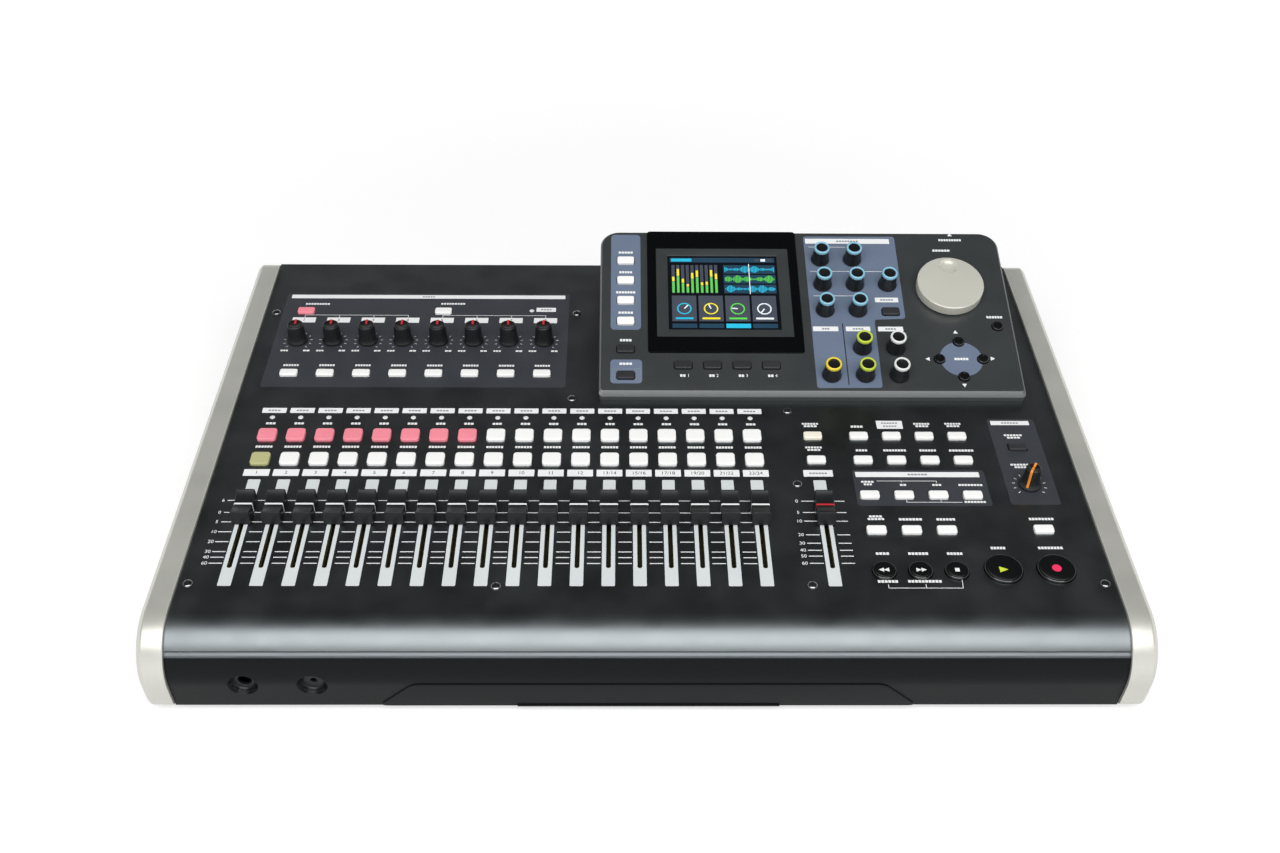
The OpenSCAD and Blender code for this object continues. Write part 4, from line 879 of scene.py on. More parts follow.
for number, u in enumerate(FADER_U, 1):
    cap = Stock()
    stereo = number > len(CHANNEL_U)
    rings, tone = saddle_rings(u, FADER_V)
    cap.loft(PANEL, rings, tone)
    cap.slab(PANEL, round_rect(LEVER_W, LEVER_L, LEVER_CORNER, (u, FADER_V), 3), LEVER_LOW, LEVER_HIGH)
    node = "stereo_fader" if stereo else f"channel_fader_{number:02d}"
    line = red_line if stereo else white_ink
    make(f"{node}_cap", cap, [fader_plastic, line], node, [node])
print("fader caps", len(FADER_U))

# %% [markdown]
# The trim and monitor knobs are turned parts, so a lathe of rings is natural. They flare at the foot,
# with fine flutes for grip. The pointer line follows the knob's own profile, over the top and down the
# side, red on the trim knobs and orange on the monitor knob.

# %% Pointer knobs
POT_STEPS, POT_FLUTES, POINTER_ROOT = 108, 18, 0.3
TRIM_LINE, MONITOR_LINE, MONITOR_TURN = (1.2, 0.14), (1.3, 0.16), 210.0


def pointer_line(stock, spot, profile, turn_deg, width, proud, tone):
    """A strip along a knob's profile: each section is a small box, turned clockwise from the slope."""
    path = np.asarray(profile, float)
    step = np.gradient(path, axis=0)
    out = np.stack([-step[:, 1], step[:, 0]], -1) / np.linalg.norm(step, axis=1, keepdims=True)
    outer, inner = path - proud * out, path + POINTER_ROOT * out
    reach = np.stack([outer[:, 0], outer[:, 0], inner[:, 0], inner[:, 0]], 1)
    level = np.stack([outer[:, 1], outer[:, 1], inner[:, 1], inner[:, 1]], 1)
    side = np.array([-0.5, 0.5, 0.5, -0.5]) * width
    turn = math.radians(turn_deg)
    u = spot[0] + reach * math.sin(turn) + side * math.cos(turn)
    v = spot[1] + reach * math.cos(turn) - side * math.sin(turn)
    stock.loft(PANEL, np.stack([u, v, level], -1), tone)


TRIM_PROFILE = [(6.3, 0.8), (6.3, 1.6), (6.15, 1.9), (5.85, 2.6), (5.6, 3.8), (5.4, 5.5), (5.25, 8.0),
                (5.1, 10.8), (5.0, 12.2), (4.8, 12.9), (4.4, 13.25), (3.9, 13.3), (3.6, 13.15), (0.3, 13.1)]
TRIM_FLUTES = np.array([0, 0, 0, 0.02, 0.08, 0.14, 0.16, 0.16, 0.1, 0.02, 0, 0, 0, 0])
for number, u in enumerate(INPUT_U, 1):
    knob = Stock()
    knob.turned(PANEL, (u, TRIM_V), TRIM_PROFILE, steps=POT_STEPS, flutes=POT_FLUTES, depth=TRIM_FLUTES)
    pointer_line(knob, (u, TRIM_V), TRIM_PROFILE[:7:-1], 0.0, *TRIM_LINE, 1)
    node = f"trim_knob_{number}"
    make(f"{node}_cap", knob, [knob_rubber, red_line], node, [node])

MONITOR_PROFILE = [(6.3, 0.8), (6.3, 1.5), (6.1, 1.8), (5.5, 2.6), (5.1, 3.8), (4.75, 5.6), (4.5, 8.0),
                   (4.3, 11.2), (4.2, 12.8), (4.0, 13.4), (3.6, 13.7), (3.2, 13.8), (3.0, 13.65), (0.3, 13.6)]
MONITOR_FLUTES = np.array([0, 0, 0, 0.02, 0.08, 0.13, 0.15, 0.15, 0.08, 0, 0, 0, 0, 0])
monitor = Stock()
monitor.turned(PANEL, MONITOR_SPOT, MONITOR_PROFILE, steps=POT_STEPS, flutes=POT_FLUTES, depth=MONITOR_FLUTES)
pointer_line(monitor, MONITOR_SPOT, MONITOR_PROFILE[:2:-1], MONITOR_TURN, *MONITOR_LINE, 1)
pointer_line(monitor, MONITOR_SPOT, MONITOR_PROFILE[:7:-1], MONITOR_TURN - 180.0, *MONITOR_LINE, 1)
make("monitor_knob_cap", monitor, [knob_rubber, orange_line], "monitor_knob",
     ["monitor_knob"])
print("pointer knobs", len(INPUT_U) + 1)

# %% [markdown]
# The encoders are turned as well. Each carries a bright ring round a dished top, and the ring's colour
# tells the groups apart. The ring needs no piece of its own: a row of tones gives the bands of rings
# between two levels the second finish.

# %% Encoders
ENC_STEPS, ENC_FLUTE_COUNT = 96, 16
ENC_PROFILE = [(5.9, 0.8), (5.9, 1.5), (5.7, 2.1), (5.3, 3.4), (5.05, 5.0), (4.9, 7.5), (4.8, 10.5),
               (4.86, 10.6), (4.9, 11.7), (4.75, 12.35), (4.4, 12.7), (4.05, 12.75), (3.75, 12.5),
               (3.6, 12.1), (2.4, 11.8), (0.3, 11.7)]
ENC_TONES = np.array([0, 0, 0, 0, 0, 0, 0, 1, 1, 1, 1, 1, 1, 0, 0])
ENC_FLUTES = np.array([0, 0, 0, 0.08, 0.14, 0.16, 0.12, 0, 0, 0, 0, 0, 0, 0, 0, 0])
encoders = [(f"eq_encoder_{i}", spot, ring_blue) for i, spot in enumerate(eq_spots, 1)]
encoders += [("pan_encoder", pan_spot, ring_yellow)]
encoders += [(f"send_encoder_{i}", spot, ring_green) for i, spot in enumerate(send_spots, 1)]
encoders += [(f"master_encoder_{i}", spot, ring_white) for i, spot in enumerate(master_spots, 1)]
for node, spot, ring in encoders:
    knob = Stock()
    knob.turned(HOUSE, spot, ENC_PROFILE, ENC_TONES, ENC_STEPS, ENC_FLUTE_COUNT, ENC_FLUTES)
    make(f"{node}_cap", knob, [knob_rubber, ring], node, [node])
print("encoders", len(encoders))

# %% [markdown]
# The jog wheel is a wide, low disc with a finger dimple near its far edge. It is a polar grid whose
# height is a gentle crown less a round bowl; the bowl's rim is softened, so it needs no cut.

# %% Jog wheel
JOG_R, JOG_TOP, JOG_CROWN, JOG_STEPS, JOG_RINGS = 20.7, 8.8, 0.9, 240, 110
JOG_SIDE = [(19.8, 0.8), (20.7, 1.6), (20.7, 7.3), (20.6, 7.62), (20.35, 7.8)]
DIMPLE_OFF, DIMPLE_R, DIMPLE_DEEP, DIMPLE_POWER = 13.0, 5.7, 2.6, 0.6


def jog_rings():
    """Side rings, then rings to the middle; height = crown in r squared less the bowl of the dimple."""
    angle = np.arange(JOG_STEPS) * 2 * np.pi / JOG_STEPS
    reach = np.concatenate([[r for r, h in JOG_SIDE], np.linspace(20.0, 0.2, JOG_RINGS)])
    crown = JOG_TOP - JOG_CROWN * (reach / JOG_R) ** 2
    crown[:len(JOG_SIDE)] = [h for r, h in JOG_SIDE]
    u = reach[:, None] * np.cos(angle)
    v = reach[:, None] * np.sin(angle)
    near = np.clip(np.hypot(u, v - DIMPLE_OFF) / DIMPLE_R, 0, 1)
    bowl = DIMPLE_DEEP * (1 - near**2) ** DIMPLE_POWER
    bowl[:len(JOG_SIDE)] = 0
    level = crown[:, None] - bowl
    return np.stack([JOG_SPOT[0] + u, JOG_SPOT[1] + v, level], -1)


jog = Stock()
jog.loft(HOUSE, jog_rings())
make("jog_wheel_cap", jog, [jog_silver], "jog_wheel", ["jog_wheel"])
print("jog wheel", 2 * JOG_R, "mm across")

# %% [markdown]
# The keys are moulded caps with soft corners and a slightly crowned top. All caps of one sheet ride on
# one body, but they differ in finish, so each finish is a piece of its own: white, lit rose and olive,
# cream and dark.

# %% Key caps
KEY_LOW = -1.6
KEY_STEPS = [(KEY_LOW, 0.0), (0.85, 0.0), (1.2, 0.06), (1.42, 0.2), (1.55, 0.5), (KEY_H, 1.1)]


def key_caps(spots, size, plane):
    """For each spot a stack of rounded rectangles that shrinks towards the crowned top."""
    stock = Stock()
    length, corner = size
    for spot in spots:
        rings = []
        for level, inset in KEY_STEPS:
            outline = round_rect(KEY_W - 2 * inset, length - 2 * inset, corner - 0.8 * inset, spot)
            rings.append(lift(outline, level))
        stock.loft(plane, np.stack(rings))
    return stock


def joined(*stocks):
    """Several stocks as one, with the faces of the later ones counted on."""
    whole = Stock()
    for stock in stocks:
        faces = [[k + whole.count for k in face] for face in stock.faces]
        whole.add(np.concatenate(stock.points), faces, stock.finish)
    return whole


ROSE_CHANNELS = 8
white_small = source_spots + phantom_spots[1:] + grid_spots + stereo_spots[1:] + [safe_key_spot]
panel_sets = [
    ("white_keys", joined(key_caps(rec_spots[ROSE_CHANNELS:] + select_spots[1:], TALL_KEY, PANEL),
                          key_caps(white_small, SMALL_KEY, PANEL)), key_white, "key_white"),
    ("rose_keys", joined(key_caps(rec_spots[:ROSE_CHANNELS], TALL_KEY, PANEL),
                         key_caps(phantom_spots[:1], SMALL_KEY, PANEL)), key_rose, "key_white"),
    ("olive_key", key_caps(select_spots[:1], TALL_KEY, PANEL), key_olive, "key_white"),
    ("cream_key", key_caps(stereo_spots[:1], SMALL_KEY, PANEL), key_cream, "key_white"),
    ("monitor_select_key", key_caps([monitor_key_spot], SMALL_KEY, PANEL), key_dark, "key_dark")]
for name, stock, material, slot in panel_sets:
    make(name, stock, [material], "panel_keys", ["panel_keys"])

console_sets = [("mode_keys", mode_spots, key_white, "key_white"),
                ("menu_keys", dark_spots, key_dark, "key_dark")]
for name, spots, material, slot in console_sets:
    make(name, key_caps(spots, SMALL_KEY, HOUSE), [material], "console_keys", ["console_keys"])
CURSOR_RIM = [(0.0, KEY_LOW), (0.0, 0.9), (0.1, 1.3), (0.4, 1.55), (0.8, 1.5), (1.3, 1.2)]
cursor_profile = [(CURSOR_D / 2 - inset, level) for inset, level in CURSOR_RIM] + [(0.3, 1.05)]
domes = Stock()
for spot in round_spots:
    domes.turned(HOUSE, spot, cursor_profile, steps=40)
make("cursor_keys", domes, [transport_gloss], "console_keys", ["console_keys"])
print("key pieces", len(panel_sets) + len(console_sets) + 1)

# %% [markdown]
# The transport keys are round and glossy, with a raised rim and a shallow flat. Their signs are the
# usual ones: double triangles, a square, a triangle and a dot. The signs are thin tiles that ride with
# the key, so they stay on it when it is pressed.

# %% Transport keys
SIGN_LOW, SIGN_HIGH, STOP_W, RECORD_D = 1.1, 1.42, 2.4, 5.0
ARROW_STEP, ARROW_R, ARROW_SLIM, REWIND_OFF, FORWARD_OFF = 2.7, 1.85, 0.85, -1.2, -1.5
PLAY_OFF, PLAY_R, PLAY_SLIM = (-0.9, -1.0), 3.05, 0.8
RIM_STEPS = [(0.0, KEY_LOW), (0.0, 0.9), (0.15, 1.3), (0.5, 1.56), (0.9, 1.6), (1.3, 1.5), (1.7, 1.36)]


def triangle(spot, reach, turn_deg, slim=1.0):
    """Three points about a spot, the first in the given direction; slim scales the triangle along v."""
    angle = np.radians(turn_deg + np.array([0.0, 120.0, 240.0]))
    return np.asarray(spot) + reach * np.stack([np.cos(angle), slim * np.sin(angle)], -1)


def arrow_pair(u, v, way):
    """Two slim triangles, the first about (u, v) and the second one step to its right."""
    return [triangle((u + ARROW_STEP * k, v), ARROW_R, way, ARROW_SLIM) for k in (0, 1)]


for node, (u, v, diameter) in transport_spots.items():
    key = Stock()
    rim = [(diameter / 2 - inset, level) for inset, level in RIM_STEPS]
    key.turned(PANEL, (u, v), rim + [(0.3, 1.3)], steps=72)
    signs = {"rewind_key": arrow_pair(u + REWIND_OFF, v, 180),
             "forward_key": arrow_pair(u + FORWARD_OFF, v, 0),
             "stop_key": [round_rect(STOP_W, STOP_W, 0.1, (u, v), 3)],
             "play_key": [triangle((u + PLAY_OFF[0], v + PLAY_OFF[1]), PLAY_R, 0, PLAY_SLIM)],
             "record_key": [circle(RECORD_D, (u, v), 36)]}[node]
    for sign in signs:
        key.slab(PANEL, sign, SIGN_LOW, SIGN_HIGH, 1)
    sign_finish = {"play_key": sign_green, "record_key": sign_rose}.get(node, white_ink)
    make(f"{node}_cap", key, [transport_gloss, sign_finish], node, [node])
print("transport keys", len(transport_spots))

# %% [markdown]
# The panel is screen-printed: paler fields behind groups of controls, light strips under the faders,
# boxes, brackets and scales. Ink has almost no thickness, so each mark is a tile a few hundredths of a
# millimetre proud of the sheet. The fields are cut by the same windows as the sheet under them.

# %% Printed fields
INK_ROOT, FIELD_H, STRIP_H, INK_H, OVER_H = -0.05, 0.02, 0.03, 0.04, 0.055


def field(stock, plane, left, low, right, high, radius=2.0):
    """A printed rectangle from its left low to its right high corner."""
    stock.slab(plane, corner_rect(left, low, right, high, radius), INK_ROOT, FIELD_H)


panel_fields = Stock()
field(panel_fields, PANEL, -232.0, 161.5, -48.2, 258.0)
field(panel_fields, PANEL, 116.0, 59.7, 190.6, 88.8)
field(panel_fields, PANEL, 201.0, 60.7, 228.8, 133.2)
make("panel_fields", panel_fields, [field_paint], "case", (), [panel_windows])

strips = Stock()
STRIP_W, STRIP_L = 7.0, 80.2
for u in FADER_U:
    strips.slab(PANEL, round_rect(STRIP_W, STRIP_L, 0.6, (u, STRIP_L / 2)), INK_ROOT, STRIP_H)
make("fader_strips", strips, [strip_ink], "case", (), [panel_windows])

house_fields = Stock()
field(house_fields, HOUSE, -21.1, 48.0, -2.4, 125.5, 2.5)
field(house_fields, HOUSE, -21.1, 7.4, -1.9, 25.2, 2.5)
EQ_FIELD = [(102.6, 124.7), (161.5, 124.8), (161.5, 57.3), (142.2, 56.5), (142.0, 4.6), (102.8, 4.3)]
house_fields.slab(HOUSE, eased(EQ_FIELD, 2.0), INK_ROOT, FIELD_H)
house_fields.slab(HOUSE, circle(26.0, (192.1, 26.3), 64), INK_ROOT, FIELD_H)
make("housing_fields", house_fields, [blue_field], "case", (), [house_windows])
print("fields", len(panel_fields.points) + len(house_fields.points))

# %% [markdown]
# Four small helpers draw all the printed lines: bars, bent lines, rays round a knob, and rows of plain
# blocks in the places of words. A plate is a white bar with a grey word on it. All marks go into one
# stock, because they share their inks and ride on the case.

# %% Helpers for printed marks
marks = Stock()
LINE_W, SCALE_W, WORD_H, PLATE_WORD_H, LETTER, LETTER_GAP = 0.35, 0.55, 1.75, 1.2, 1.35, 0.35
WHITE_TONE, DARK_TONE, GREY_TONE = range(3)


def bars(plane, rows, tone=WHITE_TONE, level=INK_H, radius=0.25):
    """One rounded bar for each (u, v, width, height) row."""
    for u, v, width, height in rows:
        marks.slab(plane, round_rect(width, height, radius, (u, v), 4), INK_ROOT, level, tone)


def path(plane, points, width=LINE_W):
    """A bent line as one thin rectangle for each of its runs."""
    for start, end in zip(points[:-1], points[1:]):
        marks.slab(plane, stroke(start, end, width), INK_ROOT, INK_H)


def ticks(plane, spot, near, far, degrees, width=LINE_W):
    """Short rays round a knob, from the near to the far radius, clockwise from straight up."""
    for turn in np.radians(degrees):
        ray = np.array([math.sin(turn), math.cos(turn)])
        path(plane, [np.asarray(spot) + near * ray, np.asarray(spot) + far * ray], width)


def words(plane, rows, tone=WHITE_TONE, level=INK_H):
    """A row of plain blocks in the place of each (u, v, width, height) word."""
    for u, v, width, height in rows:
        count = max(2, round(width / (LETTER + LETTER_GAP)))
        pitch = (width + LETTER_GAP) / count
        starts = u + pitch * (np.arange(count) - (count - 1) / 2)
        bars(plane, [(start, v, pitch - LETTER_GAP, height) for start in starts], tone, level, 0.1)


def plates(plane, rows):
    """White bars with a grey word on each, from (u, v, width, height, width of the word) rows."""
    bars(plane, [row[:4] for row in rows])
    words(plane, [(u, v, word, PLATE_WORD_H) for u, v, width, height, word in rows], GREY_TONE, OVER_H)


print("mark helpers ready")

# %% [markdown]
# The channels repeat one pattern eighteen times: a plate, two words, a white box for the number and a
# scale beside the fader. A list over the channels' places draws a whole row at once.

# %% Channel marks
NUMBER_V, PLATE_V, REC_WORD_V, SELECT_WORD_V = 85.8, 139.7, 128.0, 107.6
SCALE_FAR, SCALE_NEAR, STEREO_RUNS = 11.3, 4.2, ((85.0, 92.4), (102.0, 108.9))
plates(PANEL, [(u, PLATE_V, 14.2, 4.5, 7.0) for u in CHANNEL_U])
words(PANEL, [(u, REC_WORD_V, 5.4, WORD_H) for u in CHANNEL_U])
words(PANEL, [(u, SELECT_WORD_V, 9.6, WORD_H) for u in CHANNEL_U])
bars(PANEL, [(u, NUMBER_V, 14.5, 5.5) for u in CHANNEL_U])
plates(PANEL, [(96.7, 85.9, 16.6, 5.4, 10.0)])
CHANNEL_SCALE = (63.3, 53.9, 46.6, 39.1, 31.7, 24.4, 20.3, 16.0)
STEREO_SCALE = (63.3, 54.4, 47.7, 37.3, 31.0, 25.8, 21.5, 16.3)
for v in CHANNEL_SCALE:
    for u in CHANNEL_U:
        path(PANEL, [(u - SCALE_FAR, v), (u - SCALE_NEAR, v)], SCALE_W)
for v in STEREO_SCALE:
    for left, right in STEREO_RUNS:
        path(PANEL, [(left, v), (right, v)], SCALE_W)
print("channel marks", len(marks.points))

# %% [markdown]
# Right of the faders the marks follow no grid: brackets join keys that work together, and words stand
# over single keys. Their places are plain numbers, in millimetres on the panel.

# %% Key marks
path(PANEL, [(124.3, 1.3), (124.3, -1.2), (162.9, -1.2), (163.3, 4.8)])
path(PANEL, [(143.9, -1.2), (143.9, 1.4)])
words(PANEL, [(124.4, 3.4, 10.5, WORD_H), (143.7, 3.5, 17.5, WORD_H)])
words(PANEL, [(124.3, 23.4, 7.0, 1.8), (143.3, 23.4, 10.6, 1.8), (162.8, 23.4, 8.2, 1.8),
              (186.7, 27.6, 7.7, 1.8), (214.8, 27.7, 13.2, 1.8), (214.8, 49.6, 13.5, WORD_H)])
words(PANEL, [(124.4, 51.4, 7.0, 1.5), (124.4, 49.4, 9.0, 1.5), (143.2, 49.2, 12.5, WORD_H),
              (162.5, 49.2, 10.2, WORD_H)])
plates(PANEL, [(152.6, 85.0, 70.0, 4.2, 11.0)])
path(PANEL, [(128.9, 79.7), (162.6, 79.7), (162.3, 78.1)])
path(PANEL, [(142.8, 79.7), (142.8, 78.6)])
path(PANEL, [(143.5, 64.4), (143.3, 62.6), (174.2, 62.6)])
path(PANEL, [(162.5, 62.6), (162.5, 64.4)])
words(PANEL, [(123.6, 79.0, 7.0, 1.5), (123.6, 76.9, 4.5, 1.5), (143.3, 76.5, 3.4, 1.5),
              (162.2, 76.5, 5.0, 1.5), (181.1, 76.5, 13.4, 1.5), (181.3, 62.9, 11.8, 1.5)])
words(PANEL, [(123.5, 126.2, 7.0, WORD_H)])
bars(PANEL, [(143.0, 127.9, 15.3, 7.1)])
words(PANEL, [(143.0, 129.3, 9.5, PLATE_WORD_H), (143.0, 126.6, 8.0, PLATE_WORD_H)], GREY_TONE, OVER_H)
for u, v in ((161.9, 127.8), (180.3, 127.9), (96.3, 127.6), (96.3, 106.8)):
    words(PANEL, [(u, v + 1.0, 9.5, 1.5), (u, v - 1.1, 7.5, 1.5)])
words(PANEL, [(123.7, 105.4, 6.5, WORD_H), (142.8, 105.4, 13.0, WORD_H), (161.9, 105.4, 9.5, WORD_H),
              (181.2, 105.4, 14.0, WORD_H)])
plates(PANEL, [(214.2, 129.7, 22.7, 3.7, 10.0)])
words(PANEL, [(213.8, 118.8, 10.5, 1.5), (213.8, 116.7, 7.5, 1.5), (212.4, 93.4, 10.5, 1.5),
              (212.4, 91.3, 6.5, 1.5)])
ticks(PANEL, MONITOR_SPOT, 8.0, 9.6, np.linspace(-130, 130, 11))
print("with key marks", len(marks.points))

# %% [markdown]
# The input field has a long plate, a bracket over each half of its eight inputs, a box for each number
# and a ring of short rays round each trim knob.

# %% Input marks
INPUT_NUMBER_V, BRACKET_V, BRACKET_FOOT = 229.0, 234.3, 232.0
TICK_NEAR, TICK_FAR, TICK_W, TICK_TURNS = 7.6, 9.0, 0.3, np.linspace(-135, 135, 11)
plates(PANEL, [(-140.1, 254.5, 178.0, 3.9, 8.0)])
words(PANEL, [(-211.0, 246.3, 15.5, 1.7), (-123.6, 246.9, 15.5, 1.7)])
for left in (0, 4):
    inputs = INPUT_U[left:left + 4]
    path(PANEL, [(inputs[0], BRACKET_V), (inputs[3], BRACKET_V)])
    for u in inputs:
        path(PANEL, [(u, BRACKET_V), (u, BRACKET_FOOT)])
plates(PANEL, [(-63.0, 240.7, 12.5, 4.4, 7.0)])
bars(PANEL, [(u, INPUT_NUMBER_V, 14.8, 5.4) for u in INPUT_U])
words(PANEL, [(u - 6.8, 197.2, 4.6, 1.5) for u in INPUT_U] + [(u + 6.8, 197.2, 4.0, 1.5) for u in INPUT_U])
words(PANEL, [(u, 182.6, 9.4, WORD_H) for u in INPUT_U])
for u in INPUT_U:
    ticks(PANEL, (u, TRIM_V), TICK_NEAR, TICK_FAR, TICK_TURNS, TICK_W)
print("with input marks", len(marks.points))

# %% [markdown]
# On the housing, plates head the groups of encoders, short lines join them, and arrows stand round the
# cursor keys. A raster of fine dots surrounds the lowest dark key and leaves its window free.

# %% Housing marks
MODE_WORDS = [(110.4, 9.0), (94.0, 8.0), (77.6, 12.0), (61.4, 9.0), (39.9, 7.0), (22.0, 7.5)]
FUNCTION_U, FUNCTION_V = (22.5, 40.0, 57.7, 75.4), 13.3
words(HOUSE, [(MODE_U, v, width, 1.7) for v, width in MODE_WORDS])
words(HOUSE, [(u, FUNCTION_V, 3.2, 1.8) for u in FUNCTION_U])
plates(HOUSE, [(130.8, 120.7, 54.2, 4.1, 14.0), (111.3, 49.2, 15.6, 3.6, 4.5), (131.3, 49.2, 15.1, 3.6, 6.5),
               (151.4, 49.2, 15.5, 3.6, 6.5), (151.3, 72.2, 14.6, 3.7, 8.0)])
bars(HOUSE, [(122.0, 30.1, 0.6, 46.6)], DARK_TONE)
ENCODER_LINES = [(115.7, 105.5, 109.3), (115.7, 118.4, 129.1), (95.4, 105.1, 109.3), (95.4, 118.3, 130.5),
                 (95.4, 139.0, 151.2), (75.4, 105.7, 109.9), (75.4, 118.7, 130.8)]
for v, left, right in ENCODER_LINES:
    path(HOUSE, [(left, v), (right, v)])
words(HOUSE, [(197.3, 122.0, 14.5, 1.7), (190.5, 113.1, 11.0, 1.7), (216.9, 58.7, 9.8, 1.7),
              (192.1, 26.3, 8.5, 1.7)])
ARROWS = [((197.8, 126.3), 90), ((191.1, 46.7), 90), ((171.9, 26.3), 180), ((210.9, 26.7), 0),
          ((191.4, 6.9), 270)]
for spot, way in ARROWS:
    marks.slab(HOUSE, triangle(spot, 1.7, way), INK_ROOT, INK_H)
DOT_STEP, DOT_W, DOT_RUN, DOT_RISE = 1.1, 0.45, (-19.6, -3.0), (8.6, 19.0)
for u in np.arange(*DOT_RUN, DOT_STEP):
    for v in np.arange(*DOT_RISE, DOT_STEP):
        if max(abs(u - MODE_U) - KEY_W / 2, abs(v - HOME_V) - SMALL_KEY[0] / 2) > 2 * KEY_GAP:
            bars(HOUSE, [(u, v, DOT_W, DOT_W)], GREY_TONE, OVER_H, 0.1)
make("printed_marks", marks, [white_ink, dark_ink_and_painted_shade, grey_ink], "case")
print("printed marks", len(marks.points))

# %% [markdown]
# Channels, inputs and scales carry plain numbers. Each comes from a text curve, which Blender fills by
# itself. The curve is made a mesh before it is laid on its slope, so the piece is a mesh like all others.

# %% Printed numbers
NUMBER_DEEP, BOX_SIZE, SCALE_SIZE, FUNCTION_SIZE, FUNCTION_OFF = 0.03, 3.5, 3.2, 3.0, 3.4
numbers = Stock()


def numeral(plane, text, spot, size, tone):
    """A number as a thin mesh: a filled text curve, made a mesh, then laid on the plane."""
    curve = bpy.data.curves.new("numeral", "FONT")
    curve.body = text
    curve.size = size
    curve.align_x = "CENTER"
    curve.align_y = "CENTER"
    curve.extrude = NUMBER_DEEP
    curve.resolution_u = 4
    holder = bpy.data.objects.new("numeral", curve)
    bpy.context.scene.collection.objects.link(holder)
    flat = bpy.data.meshes.new_from_object(holder.evaluated_get(bpy.context.evaluated_depsgraph_get()))
    points = np.empty(3 * len(flat.vertices))
    flat.vertices.foreach_get("co", points)
    points = points.reshape(-1, 3) + np.array([spot[0], spot[1], OVER_H - NUMBER_DEEP])
    faces = [[k + numbers.count for k in face.vertices] for face in flat.polygons]
    numbers.add(plane.at(points), faces, [tone] * len(faces))
    bpy.data.objects.remove(holder)


channel_names = [str(i) for i in range(1, 13)] + [f"{i}/{i + 1}" for i in range(13, 24, 2)]
for u, text in zip(CHANNEL_U, channel_names):
    numeral(PANEL, text, (u, NUMBER_V), BOX_SIZE, DARK_TONE)
for u, text in zip(INPUT_U, "12345678"):
    numeral(PANEL, text, (u, INPUT_NUMBER_V), BOX_SIZE, DARK_TONE)
scale_numbers = [(-232.6, CHANNEL_SCALE, "6 0 5 10 20 30 40 60"),
                 (82.4, STEREO_SCALE, "0 5 10 20 30 40 50 60")]
for u, scale, texts in scale_numbers:
    for v, text in zip(scale, texts.split()):
        numeral(PANEL, text, (u, v), SCALE_SIZE, WHITE_TONE)
for i, u in enumerate(FUNCTION_U, 1):
    numeral(HOUSE, str(i), (u + FUNCTION_OFF, FUNCTION_V), FUNCTION_SIZE, WHITE_TONE)
make("printed_numbers", numbers, [white_ink, dark_ink_and_painted_shade], "case")
print("numbers", len(numbers.points))

# %% [markdown]
# Small hardware finishes the panel: domed indicator lenses above each channel, and nine cross-head
# screws. The screw heads are turned domes; the cross is two short dark bars let into the top, painted
# shade in the place of the recess.

# %% Lamps and screws
LAMP_V, PHANTOM_LAMP = 133.3, (-72.2, 239.4)
LENS_PROFILE = [(1.5, -0.1), (1.5, 0.22), (1.35, 0.36), (0.9, 0.46), (0.1, 0.5)]
lamps = Stock()
for spot in [(u, LAMP_V) for u in CHANNEL_U] + [PHANTOM_LAMP]:
    lamps.turned(PANEL, spot, LENS_PROFILE, steps=24)
make("indicator_lenses", lamps, [lamp_lens], "case")

screws = Stock()
SCREW_SPOTS = [(-236.0, 237.0), (-43.2, 237.0), (-44.0, 151.4), (-237.8, 1.7), (-79.0, 0.0), (84.1, 140.4),
               (84.2, 77.2), (84.9, 0.8), (237.7, 2.0)]
HEAD_PROFILE = [(2.7, -0.4), (2.7, 0.2), (2.5, 0.5), (2.0, 0.8), (1.2, 0.98), (0.2, 1.02)]
CROSS_REACH, CROSS_W, CROSS_LOW, CROSS_HIGH = 1.5, 0.55, 0.5, 1.04
for u, v in SCREW_SPOTS:
    screws.turned(PANEL, (u, v), HEAD_PROFILE, steps=32)
    # The cross bars are dark ink in place of the shade inside the recess: painted shade.
    for turn in (20.0, 110.0):
        ray = CROSS_REACH * np.array([math.cos(math.radians(turn)), math.sin(math.radians(turn))])
        screws.slab(PANEL, stroke((u, v) - ray, (u, v) + ray, CROSS_W), CROSS_LOW, CROSS_HIGH, 1)
make("panel_screws", screws, [screw_metal, dark_ink_and_painted_shade], "case")
print("screws", len(SCREW_SPOTS))

# %% [markdown]
# The rest of the frame's own solids are right as they are: chassis, boards, sockets, feet and the
# standby button. They only need their finishes, set in the material slots they already have.

# %% Finishes of the frame's own solids
carried = {"bottom_chassis": chassis_paint, "circuit_boards": board_lacquer, "jack_sockets": socket_plastic,
           "feet": foot_rubber, "standby_button": key_dark}
for node, material in carried.items():
    solid = frame["nodes"][node]
    for place in solid.material_slots:
        place.material = material
    if not solid.material_slots:
        solid.data.materials.append(material)
print("carried over:", ", ".join(carried))

# %% [markdown]
# The floor is a sheet of pale paper. To the camera, to gloss and to glass it also glows a little, more
# with distance, so it runs into a white background and still keeps the shadow of the object. All other
# light sees plain paper.

# %% Floor


def seen(nodes, links):
    """A socket that is 1 for rays from the camera, from gloss and through glass, and otherwise 0."""
    path_kind = nodes.new("ShaderNodeLightPath")
    total = path_kind.outputs["Is Camera Ray"]
    for kind in ("Is Glossy Ray", "Is Transmission Ray"):
        either = nodes.new("ShaderNodeMath")
        either.operation = "MAXIMUM"
        links.new(total, either.inputs[0])
        links.new(path_kind.outputs[kind], either.inputs[1])
        total = either.outputs[0]
    return total


def ramp(nodes, links, value, start, end, first, last):
    """A socket that goes smoothly from the first to the last number as the value goes from start to end."""
    node = map_range(nodes, start, end, first, last)
    node.interpolation_type = "SMOOTHSTEP"
    links.new(value, node.inputs["Value"])
    return node.outputs["Result"]


